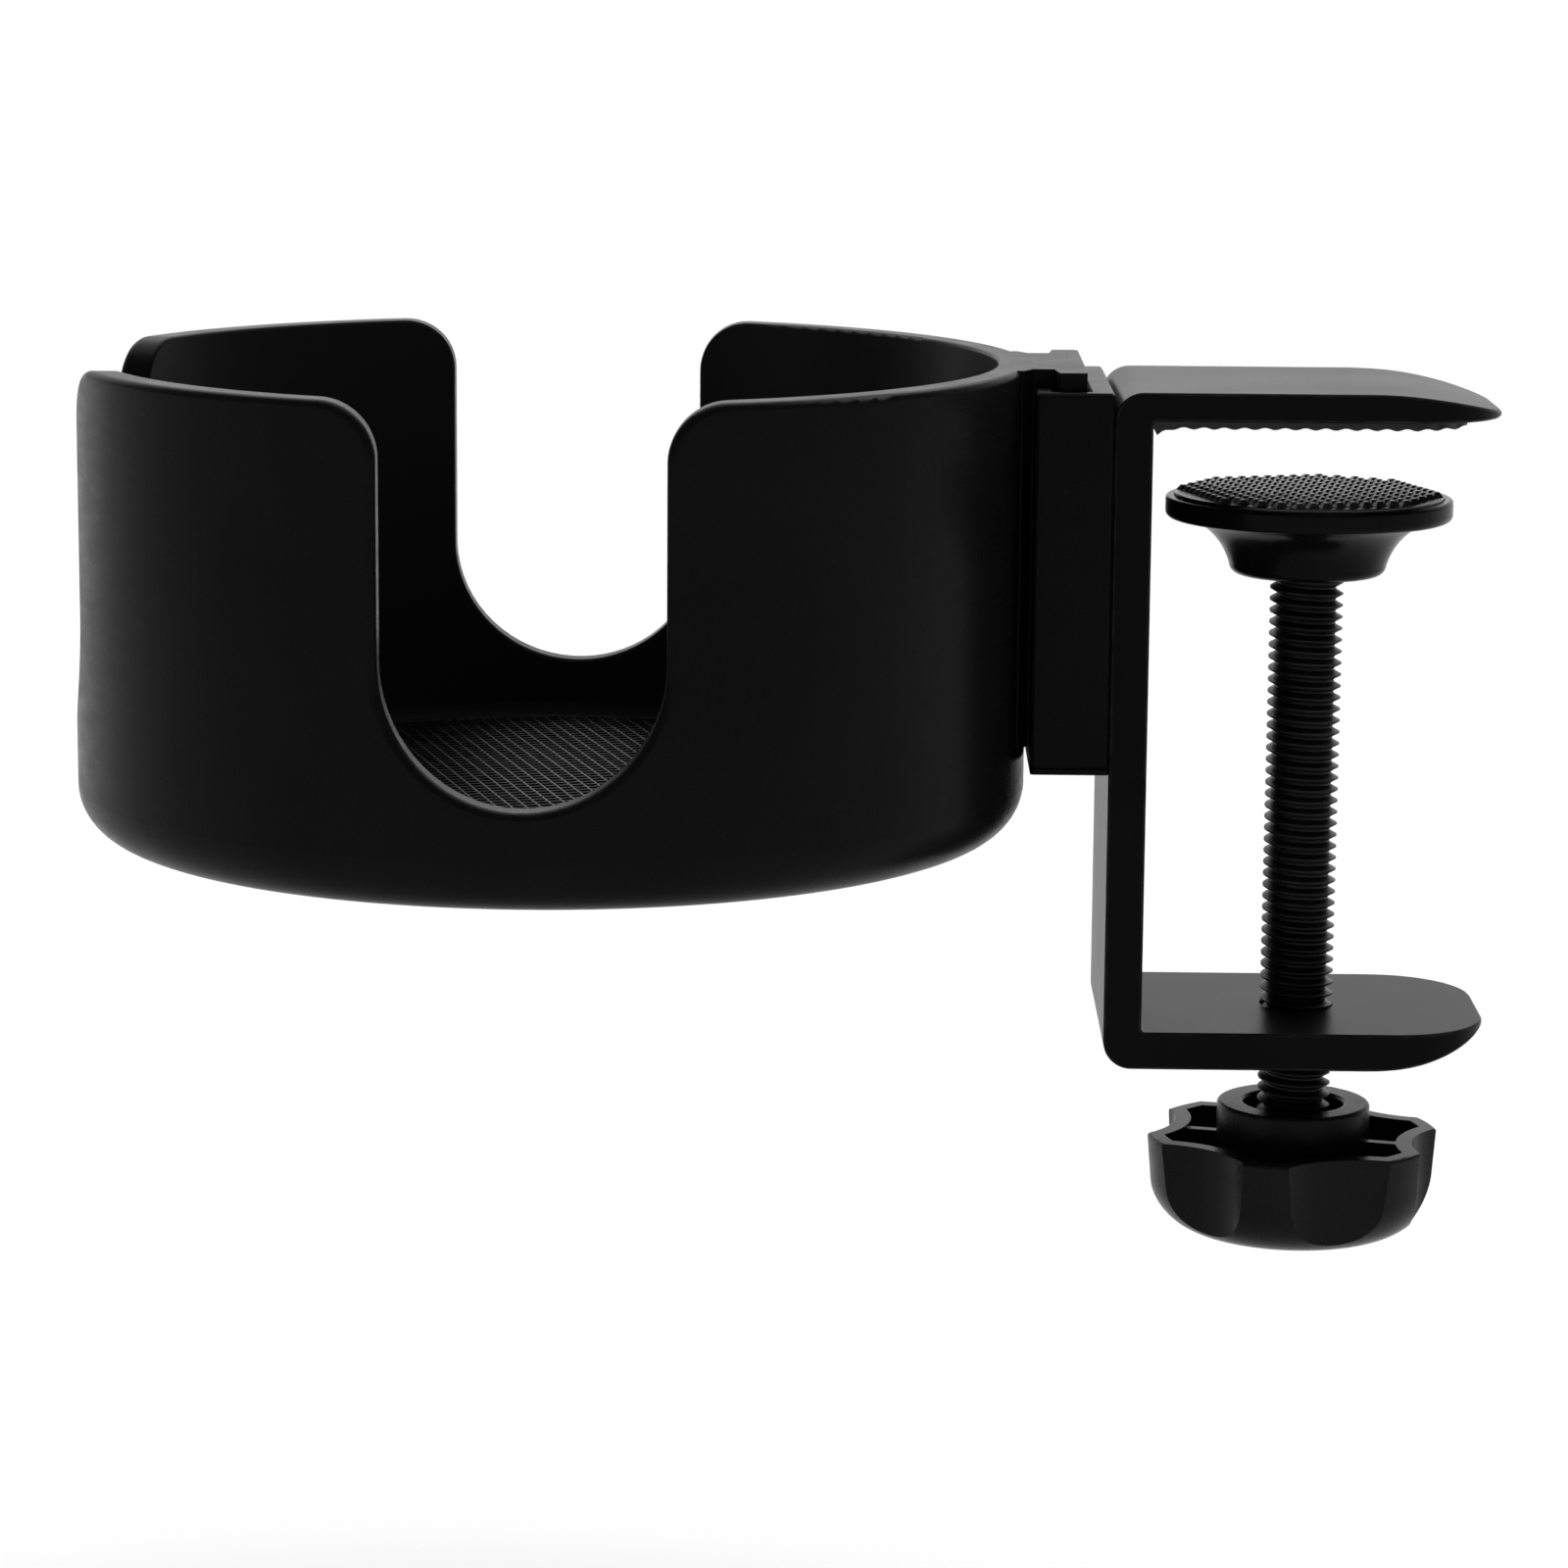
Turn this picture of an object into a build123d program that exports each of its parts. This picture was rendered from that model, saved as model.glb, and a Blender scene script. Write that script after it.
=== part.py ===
"""Desk clamp cup holder.

Frame: +Z up, +X from the cup towards the desk, origin on the screw's axis in
the plane of the jaw pad's underside, which is the top of the desk.
"""
from build123d import *
import math
import os

# ---------------------------------------------------------------- sizes, mm
# Clamp bracket
CLAMP_WIDTH = 30.0
PLATE_REACH = 19.5
SPINE_OUTER_X = -21.6
SPINE_THICKNESS = 4.0
JAW_PAD_THICKNESS = 0.8
JAW_PAD_END_X = 15.6
JAW_PAD_INSET = 0.5
JAW_PAD_TIP_R = 7.0
JAW_PAD_HEEL_R = 0.8
UPPER_PLATE_THICKNESS = 3.0
LOWER_PLATE_THICKNESS = 4.0
THROAT_HEIGHT = 64.0
SPINE_CORNER_R = 3.0
THROAT_CORNER_R = 0.4
PLATE_CORNER_R = 10.2
TIP_EDGE = 0.6
UPPER_TAPER_LENGTH = 14.4
LOWER_TAPER_LENGTH = 13.2
EDGE_BREAK = 0.2

# Screw, M8 x 1.25 over its crests
THREAD_R = 3.92
THREAD_CLEARANCE = 0.06
SPIGOT_R = 2.5
RIVET_HEAD_R = 3.6
SCREW_SHOULDER_Z = -15.2
RIVET_HEAD_BOTTOM_Z = -10.95
RIVET_HEAD_HEIGHT = 1.15
RIVET_HEAD_CHAMFER = 0.5
SCREW_END_CHAMFER = 0.8
SCREW_TOP_CHAMFER = 0.6

# Swivel foot
FOOT_R = 15.3
FOOT_TOP_Z = -8.6
FOOT_TOP_ROUND = 0.35
FOOT_RIM_HEIGHT = 2.3
FOOT_RIM_ROUND = 0.7
FOOT_BOTTOM_Z = -16.9
FOOT_NECK_R = 8.4
FOOT_TOE_R = 7.2
FOOT_TOE_HEIGHT = 1.1
FOOT_SHOULDER_R = 12.9
FOOT_FLANK_R = 7.4
FOOT_MOUTH_R = 4.6
FOOT_WEB_BOTTOM_Z = -14.1
FOOT_WEB_TOP_Z = -12.1
FOOT_WEB_HOLE_R = 2.95
RIVET_WELL_R = 6.2
FOOT_RUBBER_R = 14.3
FOOT_RUBBER_GAP = 0.1
FOOT_RUBBER_BOTTOM_Z = -9.4
FOOT_RUBBER_TOP_Z = -7.7
WASHER_BORE_R = 2.6
WASHER_THICKNESS = 0.8
THRUST_WASHER_R = 4.2
RETAINING_WASHER_R = 5.0

# Hand knob
KNOB_HUB_TOP_Z = -74.9
KNOB_RIM_TOP_Z = -78.3
KNOB_BOTTOM_Z = -89.0
KNOB_R = 16.0
KNOB_BASE_R = 15.0
KNOB_EDGE_ROUND = 0.3
KNOB_LOBES = 6
KNOB_LOBE_ANGLE = 15.0
SCALLOP_R = 10.6
SCALLOP_FLOOR_R = 13.2
KNOB_WALL = 1.7
KNOB_FLOOR = 1.8
KNOB_BOTTOM_ROUND = 6.2
KNOB_HUB_R = 8.3
KNOB_HUB_ROUND = 0.4
KNOB_HUB_BORE_R = 5.4
KNOB_RIB_THICKNESS = 1.2
KNOB_RIB_DROP = 0.5
NUT_ACROSS_FLATS = 13.0
NUT_HEIGHT = 4.0
NUT_BORE_PLAY = 0.02
SCREW_END_Z = -87.2

# Slide channel
CHANNEL_OUTER_X = -29.8
CHANNEL_TOP_Z = 3.7
CHANNEL_HEIGHT = 40.1
CHANNEL_FLOOR = 2.0
CHANNEL_LIP = 1.9
SLOT_DEPTH = 3.8
SLOT_HALF_WIDTH = 13.5
SLOT_MOUTH_HALF_WIDTH = 9.6
CHANNEL_CORNER_R = 0.5
CHANNEL_TOP_CHAMFER = 0.25
CHANNEL_GROOVE_Z = -35.8
CHANNEL_GROOVE_HEIGHT = 0.5
CHANNEL_GROOVE_DEPTH = 0.3

# Channel screws, M4 countersunk
SCREW4_R = 1.96
SCREW4_TAP_R = 2.0
SCREW4_CLEAR_R = 2.25
SCREW4_HEAD_R = 3.75
SCREW4_HEAD_SINK = 0.1
SCREW4_HEAD_LAND = 0.2
SCREW4_SINK_PLAY = 0.05
SCREW4_END_GAP = 0.1
SCREW4_END_CHAMFER = 0.3
SCREW4_SOCKET_AF = 2.5
SCREW4_SOCKET_DEPTH = 1.4
CHANNEL_SCREW_Z = (-7.0, -26.0)

# Cup
CUP_X = -80.8
CUP_R = 50.8
CUP_WALL = 3.4
CUP_BOTTOM_Z = -45.0
CUP_HEIGHT = 50.6
CUP_FLOOR = 3.0
CUP_BOTTOM_ROUND = 5.6
CUP_INNER_ROUND = 2.5
RIM_OUTER_ROUND = 0.75
RIM_INNER_ROUND = 0.4
NOTCH_HALF_WIDTH = 14.2
NOTCH_BOTTOM = 10.6
NOTCH_CORNER_R = 5.75
NECK_HALF_WIDTH = 9.1
FLANGE_HALF_WIDTH = 13.2
FLANGE_THICKNESS = 3.3
FLANGE_PLAY = 0.2
NECK_FLARE = 2.0
FLANGE_TAPER = 0.5
FLANGE_CORNER_R = 0.6
MAT_R = 44.6
MAT_THICKNESS = 1.5
MAT_CHAMFER = 0.3

# ------------------------------------------------------- derived positions
UPPER_PLATE_BOTTOM_Z = JAW_PAD_THICKNESS
UPPER_PLATE_TOP_Z = UPPER_PLATE_BOTTOM_Z + UPPER_PLATE_THICKNESS
LOWER_PLATE_TOP_Z = -THROAT_HEIGHT
LOWER_PLATE_BOTTOM_Z = LOWER_PLATE_TOP_Z - LOWER_PLATE_THICKNESS
SPINE_INNER_X = SPINE_OUTER_X + SPINE_THICKNESS
CHANNEL_BOTTOM_Z = CHANNEL_TOP_Z - CHANNEL_HEIGHT
SLOT_FLOOR_Z = CHANNEL_BOTTOM_Z + CHANNEL_FLOOR
SLOT_OUTER_X = CHANNEL_OUTER_X + CHANNEL_LIP
SLOT_INNER_X = SLOT_OUTER_X + SLOT_DEPTH
CUP_TOP_Z = CUP_BOTTOM_Z + CUP_HEIGHT
FLANGE_OUTER_X = SLOT_OUTER_X + FLANGE_PLAY
MAT_BOTTOM_Z = CUP_BOTTOM_Z + CUP_FLOOR
SINK_R = SCREW4_HEAD_R + SCREW4_HEAD_SINK + SCREW4_HEAD_LAND + SCREW4_SINK_PLAY

# Vertical section planes: local x runs along +X and local y along +Z.
centre_section = Plane(origin=(0, 0, 0), x_dir=(1, 0, 0), z_dir=(0, -1, 0))
cup_section = Plane(origin=(CUP_X, 0, CUP_BOTTOM_Z), x_dir=(1, 0, 0), z_dir=(0, -1, 0))
cup_side_section = Plane(origin=(CUP_X, 0, CUP_BOTTOM_Z), x_dir=(0, 1, 0), z_dir=(1, 0, 0))
screw_axis = Axis((0, 0, 0), (0, 0, 1))
cup_axis = Axis((CUP_X, 0, 0), (0, 0, 1))


# ----------------------------------------------------------- clamp bracket
with BuildPart() as clamp_bracket:
    with BuildSketch(centre_section) as clamp_profile:
        with BuildLine():
            upper_tip_z = UPPER_PLATE_BOTTOM_Z + TIP_EDGE
            lower_tip_z = LOWER_PLATE_TOP_Z - TIP_EDGE
            upper_taper_x = PLATE_REACH - UPPER_TAPER_LENGTH
            lower_taper_x = PLATE_REACH - LOWER_TAPER_LENGTH
            spine_top = (SPINE_OUTER_X, UPPER_PLATE_TOP_Z)
            spine_bottom = (SPINE_OUTER_X, LOWER_PLATE_BOTTOM_Z)
            Line(spine_top, (upper_taper_x, UPPER_PLATE_TOP_Z))
            TangentArc((upper_taper_x, UPPER_PLATE_TOP_Z), (PLATE_REACH, upper_tip_z), tangent=(1, 0))
            Polyline(
                (PLATE_REACH, upper_tip_z),
                (PLATE_REACH, UPPER_PLATE_BOTTOM_Z),
                (SPINE_INNER_X, UPPER_PLATE_BOTTOM_Z),
                (SPINE_INNER_X, LOWER_PLATE_TOP_Z),
                (PLATE_REACH, LOWER_PLATE_TOP_Z),
                (PLATE_REACH, lower_tip_z),
            )
            TangentArc((lower_taper_x, LOWER_PLATE_BOTTOM_Z), (PLATE_REACH, lower_tip_z), tangent=(1, 0))
            Line((lower_taper_x, LOWER_PLATE_BOTTOM_Z), spine_bottom)
            Line(spine_bottom, spine_top)
        make_face()
        corners = clamp_profile.vertices().group_by(Axis.X)
        fillet(corners[0], radius=SPINE_CORNER_R)
        throat_corners = clamp_profile.vertices().filter_by(lambda v: abs(v.X - SPINE_INNER_X) < 1e-6)
        fillet(throat_corners, radius=THROAT_CORNER_R)
    extrude(amount=CLAMP_WIDTH / 2, both=True)
    # Round plan corners at the tips of both plates.
    with BuildSketch(Plane.XY.offset(LOWER_PLATE_BOTTOM_Z)) as clamp_plan:
        with Locations(((SPINE_OUTER_X + PLATE_REACH) / 2, 0)):
            Rectangle(PLATE_REACH - SPINE_OUTER_X, CLAMP_WIDTH)
        fillet(clamp_plan.vertices().group_by(Axis.X)[-1], radius=PLATE_CORNER_R)
    extrude(amount=UPPER_PLATE_TOP_Z - LOWER_PLATE_BOTTOM_Z, mode=Mode.INTERSECT)
    # Broken edges along both flanks.
    flank_edges = clamp_bracket.edges().filter_by(lambda e: abs(abs(e.center().Y) - CLAMP_WIDTH / 2) < 1e-6)
    chamfer(flank_edges, length=EDGE_BREAK)
    # Threaded hole for the screw, as a plain hole over the crests.
    with Locations(Plane.XY.offset(LOWER_PLATE_TOP_Z)):
        Hole(radius=THREAD_R + THREAD_CLEARANCE, depth=LOWER_PLATE_THICKNESS)
    # Tapped holes for the channel screws.
    with BuildSketch(Plane.YZ.offset(SPINE_OUTER_X)):
        with Locations(*[(0, z) for z in CHANNEL_SCREW_Z]):
            Circle(SCREW4_TAP_R)
    extrude(amount=SPINE_THICKNESS, mode=Mode.SUBTRACT)
clamp_bracket.part.label = "clamp_bracket"

# ---------------------------------------------------------------- jaw pad
with BuildPart() as jaw_pad:
    with BuildSketch(Plane.XY) as pad_plan:
        pad_start_x = SPINE_INNER_X + THROAT_CORNER_R
        with Locations(((pad_start_x + JAW_PAD_END_X) / 2, 0)):
            Rectangle(JAW_PAD_END_X - pad_start_x, CLAMP_WIDTH - 2 * JAW_PAD_INSET)
        fillet(pad_plan.vertices().group_by(Axis.X)[-1], radius=JAW_PAD_TIP_R)
        fillet(pad_plan.vertices().group_by(Axis.X)[0], radius=JAW_PAD_HEEL_R)
    extrude(amount=JAW_PAD_THICKNESS)
jaw_pad.part.label = "jaw_pad"

# ---------------------------------------------------------- slide channel
with BuildPart() as slide_channel:
    with BuildSketch(Plane.XY.offset(CHANNEL_BOTTOM_Z)) as channel_plan:
        with Locations(((CHANNEL_OUTER_X + SPINE_OUTER_X) / 2, 0)):
            Rectangle(SPINE_OUTER_X - CHANNEL_OUTER_X, CLAMP_WIDTH)
        fillet(channel_plan.vertices(), radius=CHANNEL_CORNER_R)
    extrude(amount=CHANNEL_HEIGHT)
    # T slot for the cup's flange, open at the top and closed by the floor.
    with BuildSketch(Plane.XY.offset(SLOT_FLOOR_Z)):
        with Locations(((SLOT_OUTER_X + SLOT_INNER_X) / 2, 0)):
            Rectangle(SLOT_DEPTH, 2 * SLOT_HALF_WIDTH)
        with Locations(((CHANNEL_OUTER_X + SLOT_OUTER_X) / 2, 0)):
            Rectangle(CHANNEL_LIP, 2 * SLOT_MOUTH_HALF_WIDTH)
    extrude(amount=CHANNEL_HEIGHT, mode=Mode.SUBTRACT)
    top_face = slide_channel.faces().sort_by(Axis.Z)[-1]
    chamfer(top_face.outer_wire().edges(), length=CHANNEL_TOP_CHAMFER)
    # Parting groove round the sides and front, just above the bottom.
    with BuildSketch(Plane.XY.offset(CHANNEL_GROOVE_Z)):
        with Locations(((CHANNEL_OUTER_X + SPINE_OUTER_X) / 2, 0)):
            Rectangle(SPINE_OUTER_X - CHANNEL_OUTER_X + 1, CLAMP_WIDTH + 1)
        with Locations(((CHANNEL_OUTER_X + CHANNEL_GROOVE_DEPTH + SPINE_OUTER_X + 1) / 2, 0)):
            Rectangle(
                SPINE_OUTER_X + 1 - CHANNEL_OUTER_X - CHANNEL_GROOVE_DEPTH,
                CLAMP_WIDTH - 2 * CHANNEL_GROOVE_DEPTH,
                mode=Mode.SUBTRACT,
            )
    extrude(amount=CHANNEL_GROOVE_HEIGHT, mode=Mode.SUBTRACT)
    # Countersunk holes through the web.
    with Locations(*[Plane(origin=(SLOT_INNER_X, 0, z), z_dir=(-1, 0, 0)) for z in CHANNEL_SCREW_Z]):
        CounterSinkHole(
            radius=SCREW4_CLEAR_R,
            counter_sink_radius=SINK_R,
            counter_sink_angle=90,
            depth=SPINE_OUTER_X - SLOT_INNER_X,
        )
slide_channel.part.label = "slide_channel"

# --------------------------------------------------------- channel screws
with BuildPart() as channel_screws:
    for z in CHANNEL_SCREW_Z:
        head_x = SLOT_INNER_X + SCREW4_HEAD_SINK
        head_plane = Plane(origin=(head_x, 0, z), x_dir=(1, 0, 0), z_dir=(0, -1, 0))
        screw4_length = SPINE_INNER_X - head_x - SCREW4_END_GAP
        cone_end = SCREW4_HEAD_LAND + SCREW4_HEAD_R - SCREW4_R
        with BuildSketch(head_plane):
            with BuildLine():
                Polyline(
                    (0, 0),
                    (0, SCREW4_HEAD_R),
                    (SCREW4_HEAD_LAND, SCREW4_HEAD_R),
                    (cone_end, SCREW4_R),
                    (screw4_length - SCREW4_END_CHAMFER, SCREW4_R),
                    (screw4_length, SCREW4_R - SCREW4_END_CHAMFER),
                    (screw4_length, 0),
                    close=True,
                )
            make_face()
        revolve(axis=Axis((0, 0, z), (1, 0, 0)))
        with BuildSketch(Plane(origin=(head_x, 0, z), z_dir=(1, 0, 0))):
            RegularPolygon(radius=SCREW4_SOCKET_AF / 2, side_count=6, major_radius=False)
        extrude(amount=SCREW4_SOCKET_DEPTH, mode=Mode.SUBTRACT)
channel_screws.part.label = "channel_screws"

# -------------------------------------------------------------- cup holder
def on_wall(edge, wall_r):
    """Whether an edge above the cup's bottom lies on the wall of radius wall_r."""
    middle = edge.position_at(0.5)
    radius = math.hypot(middle.X - CUP_X, middle.Y)
    return abs(radius - wall_r) < 0.01 and middle.Z > MAT_BOTTOM_Z + 2 * CUP_INNER_ROUND


with BuildPart() as cup_holder:
    with BuildSketch(cup_section) as cup_profile:
        inner_r = CUP_R - CUP_WALL
        with BuildLine():
            Polyline(
                (0, 0),
                (CUP_R, 0),
                (CUP_R, CUP_HEIGHT),
                (inner_r, CUP_HEIGHT),
                (inner_r, CUP_FLOOR),
                (0, CUP_FLOOR),
                close=True,
            )
        make_face()
        profile_corners = cup_profile.vertices().sort_by_distance((CUP_R, 0, 0))
        fillet(profile_corners[0], radius=CUP_BOTTOM_ROUND)
        profile_corners = cup_profile.vertices().sort_by_distance((inner_r, CUP_FLOOR, 0))
        fillet(profile_corners[0], radius=CUP_INNER_ROUND)
    revolve(axis=cup_axis)
    # U notches: front, back and opposite the arm.
    for notch_plane in (cup_section, cup_side_section):
        with BuildSketch(notch_plane) as notch_profile:
            straight_bottom = NOTCH_BOTTOM + NOTCH_HALF_WIDTH
            with Locations((0, straight_bottom)):
                Circle(NOTCH_HALF_WIDTH)
            with Locations((0, (straight_bottom + CUP_HEIGHT) / 2)):
                Rectangle(2 * NOTCH_HALF_WIDTH, CUP_HEIGHT - straight_bottom)
            # Flares that round the notch's top corners.
            for side in (-1, 1):
                with BuildLine():
                    corner = (side * NOTCH_HALF_WIDTH, CUP_HEIGHT - NOTCH_CORNER_R)
                    shoulder = (side * (NOTCH_HALF_WIDTH + NOTCH_CORNER_R), CUP_HEIGHT)
                    RadiusArc(corner, shoulder, side * NOTCH_CORNER_R)
                    Polyline(shoulder, (side * NOTCH_HALF_WIDTH, CUP_HEIGHT), corner)
                make_face()
        if notch_plane is cup_section:
            extrude(amount=2 * CUP_R, both=True, mode=Mode.SUBTRACT)
        else:
            extrude(amount=-2 * CUP_R, mode=Mode.SUBTRACT)
    # Rounded rim and notch edges, wider on the outside than on the inside.
    fillet(cup_holder.edges().filter_by(lambda e: on_wall(e, CUP_R)), radius=RIM_OUTER_ROUND)
    fillet(cup_holder.edges().filter_by(lambda e: on_wall(e, inner_r)), radius=RIM_INNER_ROUND)
    # Neck and T flange on the side towards the clamp, flared where it leaves the wall.
    with BuildSketch(Plane.XY.offset(SLOT_FLOOR_Z)) as arm_plan:
        with BuildLine() as arm_outline:
            flange_end_x = FLANGE_OUTER_X + FLANGE_THICKNESS
            Polyline(
                (CUP_X + CUP_R - CUP_WALL / 2, 0),
                (CUP_X + CUP_R - CUP_WALL / 2, NECK_HALF_WIDTH + NECK_FLARE),
                (CUP_X + CUP_R - NECK_FLARE / 2, NECK_HALF_WIDTH + NECK_FLARE),
                (CUP_X + CUP_R, NECK_HALF_WIDTH),
                (FLANGE_OUTER_X, NECK_HALF_WIDTH),
                (FLANGE_OUTER_X + FLANGE_TAPER, FLANGE_HALF_WIDTH),
                (flange_end_x, FLANGE_HALF_WIDTH),
                (flange_end_x, 0),
            )
            mirror(about=Plane.XZ)
        make_face()
        fillet(arm_plan.vertices().group_by(Axis.X)[-1], radius=FLANGE_CORNER_R)
    extrude(amount=CUP_TOP_Z - SLOT_FLOOR_Z)
cup_holder.part.label = "cup_holder"

# -------------------------------------------------------------- floor mat
with BuildPart() as floor_mat:
    with BuildSketch(Plane(origin=(CUP_X, 0, MAT_BOTTOM_Z))):
        Circle(MAT_R)
    extrude(amount=MAT_THICKNESS)
    chamfer(floor_mat.edges().group_by(Axis.Z)[-1], length=MAT_CHAMFER)
floor_mat.part.label = "floor_mat"

# ------------------------------------------------------------ clamp screw
with BuildPart() as clamp_screw:
    with BuildSketch(centre_section):
        with BuildLine():
            rivet_top_z = RIVET_HEAD_BOTTOM_Z + RIVET_HEAD_HEIGHT
            Polyline(
                (0, SCREW_END_Z),
                (THREAD_R - SCREW_END_CHAMFER, SCREW_END_Z),
                (THREAD_R, SCREW_END_Z + SCREW_END_CHAMFER),
                (THREAD_R, SCREW_SHOULDER_Z - SCREW_TOP_CHAMFER),
                (THREAD_R - SCREW_TOP_CHAMFER, SCREW_SHOULDER_Z),
                (SPIGOT_R, SCREW_SHOULDER_Z),
                (SPIGOT_R, RIVET_HEAD_BOTTOM_Z),
                (RIVET_HEAD_R, RIVET_HEAD_BOTTOM_Z),
                (RIVET_HEAD_R, rivet_top_z - RIVET_HEAD_CHAMFER),
                (RIVET_HEAD_R - RIVET_HEAD_CHAMFER, rivet_top_z),
                (0, rivet_top_z),
                close=True,
            )
        make_face()
    revolve(axis=screw_axis)
clamp_screw.part.label = "clamp_screw"

# ---------------------------------------------------------------- washers
with BuildPart() as thrust_washer:
    with BuildSketch(Plane.XY.offset(SCREW_SHOULDER_Z)):
        Circle(THRUST_WASHER_R)
        Circle(WASHER_BORE_R, mode=Mode.SUBTRACT)
    extrude(amount=WASHER_THICKNESS)
thrust_washer.part.label = "thrust_washer"

with BuildPart() as retaining_washer:
    with BuildSketch(Plane.XY.offset(RIVET_HEAD_BOTTOM_Z)):
        Circle(RETAINING_WASHER_R)
        Circle(WASHER_BORE_R, mode=Mode.SUBTRACT)
    extrude(amount=-WASHER_THICKNESS)
retaining_washer.part.label = "retaining_washer"

# -------------------------------------------------------------- foot body
with BuildPart() as foot_body:
    with BuildSketch(centre_section) as foot_profile:
        rim_bottom_z = FOOT_TOP_Z - FOOT_RIM_HEIGHT
        rubber_bore_r = FOOT_RUBBER_R + FOOT_RUBBER_GAP
        neck_z = FOOT_BOTTOM_Z + FOOT_TOE_HEIGHT
        with BuildLine():
            Polyline(
                (FOOT_SHOULDER_R, rim_bottom_z),
                (FOOT_R, rim_bottom_z),
                (FOOT_R, FOOT_TOP_Z),
                (rubber_bore_r, FOOT_TOP_Z),
                (rubber_bore_r, FOOT_RUBBER_BOTTOM_Z),
                (RIVET_WELL_R, FOOT_RUBBER_BOTTOM_Z),
                (RIVET_WELL_R, FOOT_WEB_TOP_Z),
                (FOOT_WEB_HOLE_R, FOOT_WEB_TOP_Z),
                (FOOT_WEB_HOLE_R, FOOT_WEB_BOTTOM_Z),
                (FOOT_MOUTH_R, FOOT_WEB_BOTTOM_Z),
                (FOOT_MOUTH_R, FOOT_BOTTOM_Z),
                (FOOT_TOE_R, FOOT_BOTTOM_Z),
            )
            # Rounded toe, then the concave flank of the bell.
            TangentArc((FOOT_TOE_R, FOOT_BOTTOM_Z), (FOOT_NECK_R, neck_z), tangent=(1, 0))
            RadiusArc((FOOT_NECK_R, neck_z), (FOOT_SHOULDER_R, rim_bottom_z), FOOT_FLANK_R)
        make_face()
        rim_corners = foot_profile.vertices().group_by(Axis.X)[-1].sort_by(Axis.Y)
        fillet(rim_corners[0], radius=FOOT_RIM_ROUND)
        rim_corners = foot_profile.vertices().group_by(Axis.X)[-1].sort_by(Axis.Y)
        fillet(rim_corners[-1], radius=FOOT_TOP_ROUND)
    revolve(axis=screw_axis)
foot_body.part.label = "foot_body"

# ------------------------------------------------------------ foot rubber
with BuildPart() as foot_rubber:
    with BuildSketch(Plane.XY.offset(FOOT_RUBBER_BOTTOM_Z)):
        Circle(FOOT_RUBBER_R)
    extrude(amount=FOOT_RUBBER_TOP_Z - FOOT_RUBBER_BOTTOM_Z)
foot_rubber.part.label = "foot_rubber"

# ------------------------------------------------------------- knob insert
with BuildPart() as knob_insert:
    with BuildSketch(Plane.XY.offset(SCREW_END_Z)):
        RegularPolygon(NUT_ACROSS_FLATS / 2, 6, major_radius=False, rotation=KNOB_LOBE_ANGLE)
        Circle(THREAD_R + NUT_BORE_PLAY, mode=Mode.SUBTRACT)
    extrude(amount=NUT_HEIGHT)
knob_insert.part.label = "knob_insert"

# --------------------------------------------------------------- hand knob
scallop_angle = KNOB_LOBE_ANGLE + 180 / KNOB_LOBES
pocket_floor_z = KNOB_BOTTOM_Z + KNOB_FLOOR

# The hollow follows the lobed outline and the round bottom at the wall's thickness.
with BuildPart() as knob_hollow:
    with BuildSketch(centre_section) as hollow_profile:
        with BuildLine():
            Polyline(
                (0, pocket_floor_z),
                (KNOB_BASE_R - KNOB_WALL, pocket_floor_z),
                (KNOB_R - KNOB_WALL, KNOB_RIM_TOP_Z),
                (0, KNOB_RIM_TOP_Z),
                close=True,
            )
        make_face()
        pocket_corner = (KNOB_BASE_R - KNOB_WALL, pocket_floor_z, 0)
        hollow_corners = hollow_profile.vertices().sort_by_distance(pocket_corner)
        fillet(hollow_corners[0], radius=KNOB_BOTTOM_ROUND - KNOB_WALL)
    revolve(axis=screw_axis)
    with BuildSketch(Plane.XY.offset(KNOB_BOTTOM_Z)):
        with PolarLocations(SCALLOP_FLOOR_R + SCALLOP_R, KNOB_LOBES, start_angle=scallop_angle):
            Circle(SCALLOP_R + KNOB_WALL)
    extrude(amount=KNOB_RIM_TOP_Z - KNOB_BOTTOM_Z, mode=Mode.SUBTRACT)

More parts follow.
